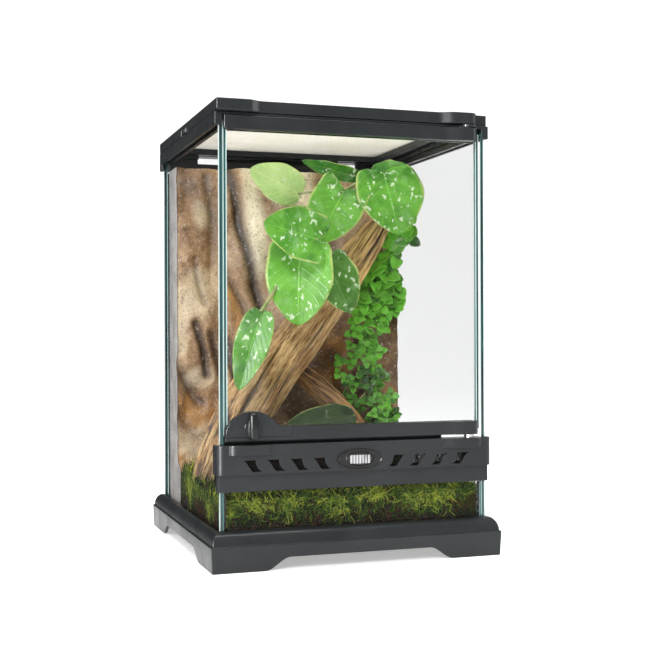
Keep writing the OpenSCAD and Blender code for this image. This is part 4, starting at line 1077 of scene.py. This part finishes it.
def ground_leaf():
    top = np.array([21, -39, 100.0])
    leaves = Leaves()
    leaves.add(
        top, [-34, -42, 97], [-0.1, -0.75, 0.65], 23, rows=34, cols=17, heart=0.1, seed=4, tone=0.6, wave=0.5
    )
    leaves.piece("broad_leaf", BROAD_LEAF, nodes=["ground_leaf"], slot="foliage")
    path = [[24, -36, SEAT], [24, -36, SEAT + 6], [25, -38, 70], top + [-1.5, 0, 0]]
    heap = Heap()
    heap.add(*tube(resample(path, 24)[0], np.linspace(1.5, 1.0, 24), 9))
    heap.piece("broad_leaf_stalk", STEM, slot="foliage")


ground_leaf()

# ---------- ground ----------
# inner faces of the panes, front of the rock, top of the glass floor; lowest and highest strand
IN_X, FRONT_Y, BACK_Y, FLOOR = 96.4, -96.4, 52.8, 21.0
MOSS_LOW, MOSS_TOP = 25, 66


def moss_level(x, y):
    p = np.stack([x, y, 0 * x], -1)
    level = 47.5 + 2.6 * noise(p, 24, 61) + 1.4 * noise(p, 11, 62)
    return level + 9 * np.exp(-(((x + 92) / 14) ** 2) - (((y - 30) / 26) ** 2))


def ground_body():
    """Closed body of soil under the moss, with crumbly faces just behind the glass."""
    xs, ys = np.linspace(-IN_X + 1.2, IN_X - 1.2, 120), np.linspace(FRONT_Y + 1.2, BACK_Y - 0.4, 96)
    x, y = np.meshgrid(xs, ys)
    rows, cols = x.shape
    z = np.minimum(moss_level(x, y) - 2.5, 49) + 0.6 * noise(np.stack([x, y, 0 * x], -1), 4, 70)
    top = np.stack([x, y, z], -1).reshape(-1, 3)
    rim = grid_rim(rows, cols)
    k, steps = len(rim), 16
    faces = grid_faces(rows, cols)
    verts, last = [top], rim
    n = len(top)
    for s in range(1, steps + 1):
        ring = top[rim].copy()
        ring[:, 2] = FLOOR + (ring[:, 2] - FLOOR) * (1 - s / steps)
        inward = np.clip(fbm(ring, 5, 3, 71), -0.9, 0.9)[:, None] * (s < steps)
        ring[:, :2] += inward * np.sign(-ring[:, :2]) * 0.7
        verts.append(ring)
        now = list(range(n, n + k))
        faces += [[last[(i + 1) % k], last[i], now[i], now[(i + 1) % k]] for i in range(k)]
        last = now
        n += k
    faces.append(last)
    piece("soil_ground", np.concatenate(verts), faces, soil_skin(), nodes=["soil_bed"], slot="soil")


ground_body()


def strands(name, roots, normals, length, mat, width=1.25, steps=5, nodes=()):
    """Curling flat strands, each a thin ribbon with its own tone."""
    n = len(roots)
    flat = unit_rows(np.cross(normals, rng.normal(size=(n, 3))))
    way = unit_rows(normals * 0.6 + flat + rng.normal(size=(n, 3)) * 0.35)
    curl = unit_rows(rng.normal(size=(n, 3)))
    pts = [roots]
    for _ in range(steps):
        way = unit_rows(way + curl * 0.42 - np.array([0, 0, 0.10]))
        pts.append(pts[-1] + way * (length / steps)[:, None])
    pts = np.stack(pts, 1)
    pts[..., 0] = np.clip(pts[..., 0], -IN_X + 0.1, IN_X - 0.1)
    pts[..., 1] = np.clip(pts[..., 1], FRONT_Y + 0.1, BACK_Y)
    pts[..., 2] = np.clip(pts[..., 2], FLOOR + 1, MOSS_TOP)
    across = unit_rows(np.cross(way, rng.normal(size=(n, 3))))[:, None]
    taper = width * 0.5 * np.linspace(1, 0.25, steps + 1)[None, :, None]
    left, right = pts - across * taper, pts + across * taper
    verts = np.stack([left, right], 2).reshape(-1, 3)
    verts[:, 0] = np.clip(verts[:, 0], -IN_X, IN_X)
    verts[:, 1] = np.clip(verts[:, 1], FRONT_Y, BACK_Y)
    one = np.array([[2 * i, 2 * i + 1, 2 * i + 3, 2 * i + 2] for i in range(steps)])
    faces = (one[None] + (np.arange(n) * 2 * (steps + 1))[:, None, None]).reshape(-1, 4).tolist()
    patch = 0.5 + 0.55 * fbm(roots, 17, 2, 80)
    # painted light: strands rooted higher up are lighter
    top_light = 0.2 * np.clip((roots[:, 2] - 37) / 9, -1, 1)
    tone = np.clip(patch + top_light + rng.normal(size=n) * 0.26, 0.02, 1)
    # painted shade: strands rooted low down, and each strand towards its root, are darker
    low = np.clip((36 - roots[:, 2]) / 12, 0, 0.9)
    each = 2 * (steps + 1)
    root_shade = np.tile(np.repeat(np.linspace(0.75, 0, steps + 1) ** 1.2, 2), n)
    depth = np.clip(np.repeat(low, each) + root_shade, 0, 1)
    data = {"tone": np.repeat(tone, each), "depth": depth}
    piece(name, verts, faces, mat, nodes=nodes, slot="moss", data=data)


def patchy(along, z, seed):
    """Which strands behind a pane stay: more near the top, in patches."""
    patch = noise(np.stack([along, 0 * along, z], -1), 14, seed)
    return rng.random(len(z)) < np.clip((z - 28) / 12 + 0.1 + 0.5 * patch, 0, 0.8)


def moss():
    skin = moss_skin()
    n = 9000
    x = rng.uniform(-IN_X + 0.6, IN_X - 0.6, n)
    y = rng.uniform(FRONT_Y + 0.6, BACK_Y - 1, n)
    roots = np.stack([x, y, moss_level(x, y) - 2.2], -1)
    up = np.tile([0, 0, 1.0], (n, 1))
    strands("moss_top", roots, up, rng.uniform(6, 13, n), skin, nodes=["moss_bed"])

    # strands just behind the front pane and the two side panes, which stand at that X or Y
    for name, n, axis, at, seed in (
        ("moss_front", 7000, 0, FRONT_Y, 90),
        ("moss_left", 5200, 1, -IN_X, 91),
        ("moss_right", 5200, 1, IN_X, 91),
    ):
        lo, hi = ((-IN_X + 0.6, IN_X - 0.6), (FRONT_Y + 0.6, BACK_Y - 1))[axis]
        a = rng.uniform(lo, hi, n)
        share = rng.random(n) ** 0.8
        wall = np.full(n, at)
        level = moss_level(wall, a) if axis else moss_level(a, wall)
        z = MOSS_LOW + share * (level - (MOSS_LOW + 0.5))
        keep = patchy(a, z, seed)
        a, z = a[keep], z[keep]
        out = np.sign(at)
        wall = np.full(len(a), at - out)
        roots = np.stack([wall, a, z] if axis else [a, wall, z], -1)
        normals = np.zeros((len(a), 3))
        normals[:, 1 - axis] = out
        strands(name, roots, normals, rng.uniform(5, 11, len(a)), skin)


moss()


# ---------- studio ----------
def studio():
    m = Nodes("paper", 0.9, Emission_Color=(1, 1, 1, 1), Emission_Strength=0.42)
    p = m.place()
    m.colour(m.mix(m.noise(p, 3, 2), (0.86, 0.86, 0.86), (0.90, 0.90, 0.90)))
    # floor, quarter round and wall of the paper, in metres
    half, start, bend, radius, top = 4.0, -3, 1.6, 1.2, 4.0
    turn = np.radians(np.arange(10, 91, 10))
    y = np.concatenate([np.linspace(start, bend, 10), bend + radius * np.sin(turn), [bend + radius]])
    z = np.concatenate([np.zeros(10), radius * (1 - np.cos(turn)), [top]])
    me = bpy.data.meshes.new("paper_sweep")
    verts = [(x, b, c) for b, c in zip(y.tolist(), z.tolist()) for x in (-half, half)]
    me.from_pydata(verts, [], grid_faces(len(y), 2))
    me.materials.append(m.mat)
    me.shade_smooth()
    add_object("paper_sweep", me)

    # black card behind and beside the tank, seen only in reflections
    me = bpy.data.meshes.new("black_card")
    verts = [(-1.5, 1.0, 0.003), (0.25, 1.75, 0.003), (0.25, 1.75, 1.6), (-1.5, 1.0, 1.6)]
    verts += [(-0.13, 0.25, 0.003), (-0.13, -0.1, 0.003), (-0.6, -0.1, 0.003)]
    me.from_pydata(verts, [], [(0, 1, 2, 3), (0, 1, 4, 5, 6)])
    me.materials.append(Nodes("black_felt", 1.0, Base_Color=(0.02, 0.02, 0.02, 1)).mat)
    card = add_object("black_card", me)
    card.visible_camera = card.visible_diffuse = card.visible_transmission = card.visible_shadow = False

    world = bpy.data.worlds.new("studio")
    world.use_nodes = True
    sky = world.node_tree.nodes["Background"].inputs
    sky[0].default_value, sky[1].default_value = (1, 1, 1, 1), 0.5
    scene.world = world
    for name, place, aim, size, power in (
        ("key", (-0.7, -1.5, 1.4), (0, 0, 0.15), (0.5, 0.5), 23),
        ("overhead", (0.1, -0.1, 1.5), (0, 0, 0.1), (0.6, 0.6), 16),
        ("strip", (-1.3, -1.15, 0.3), (0, 0, 0.15), (0.13, 1.3), 190),
        ("fill", (-1.7, 0.1, 0.7), (0, 0, 0.15), (0.8, 0.8), 12),
        ("rim", (1.3, -0.5, 0.8), (0, 0, 0.15), (0.3, 0.8), 4),
    ):
        light = bpy.data.lights.new(name, "AREA")
        light.shape = "RECTANGLE"
        light.size, light.size_y = size
        light.energy = power
        lamp = add_object(name, light)
        lamp.location = place
        lamp.visible_diffuse = name != "strip"
        lamp.rotation_euler = (Vector(aim) - Vector(place)).to_track_quat("-Z", "Y").to_euler()


studio()
scene.view_settings.view_transform = "Standard"
scene.view_settings.look = "None"
scene.cycles.use_denoising = True
scene.cycles.max_bounces = 10
scene.cycles.transparent_max_bounces = 40
scene.cycles.sample_clamp_indirect = 6
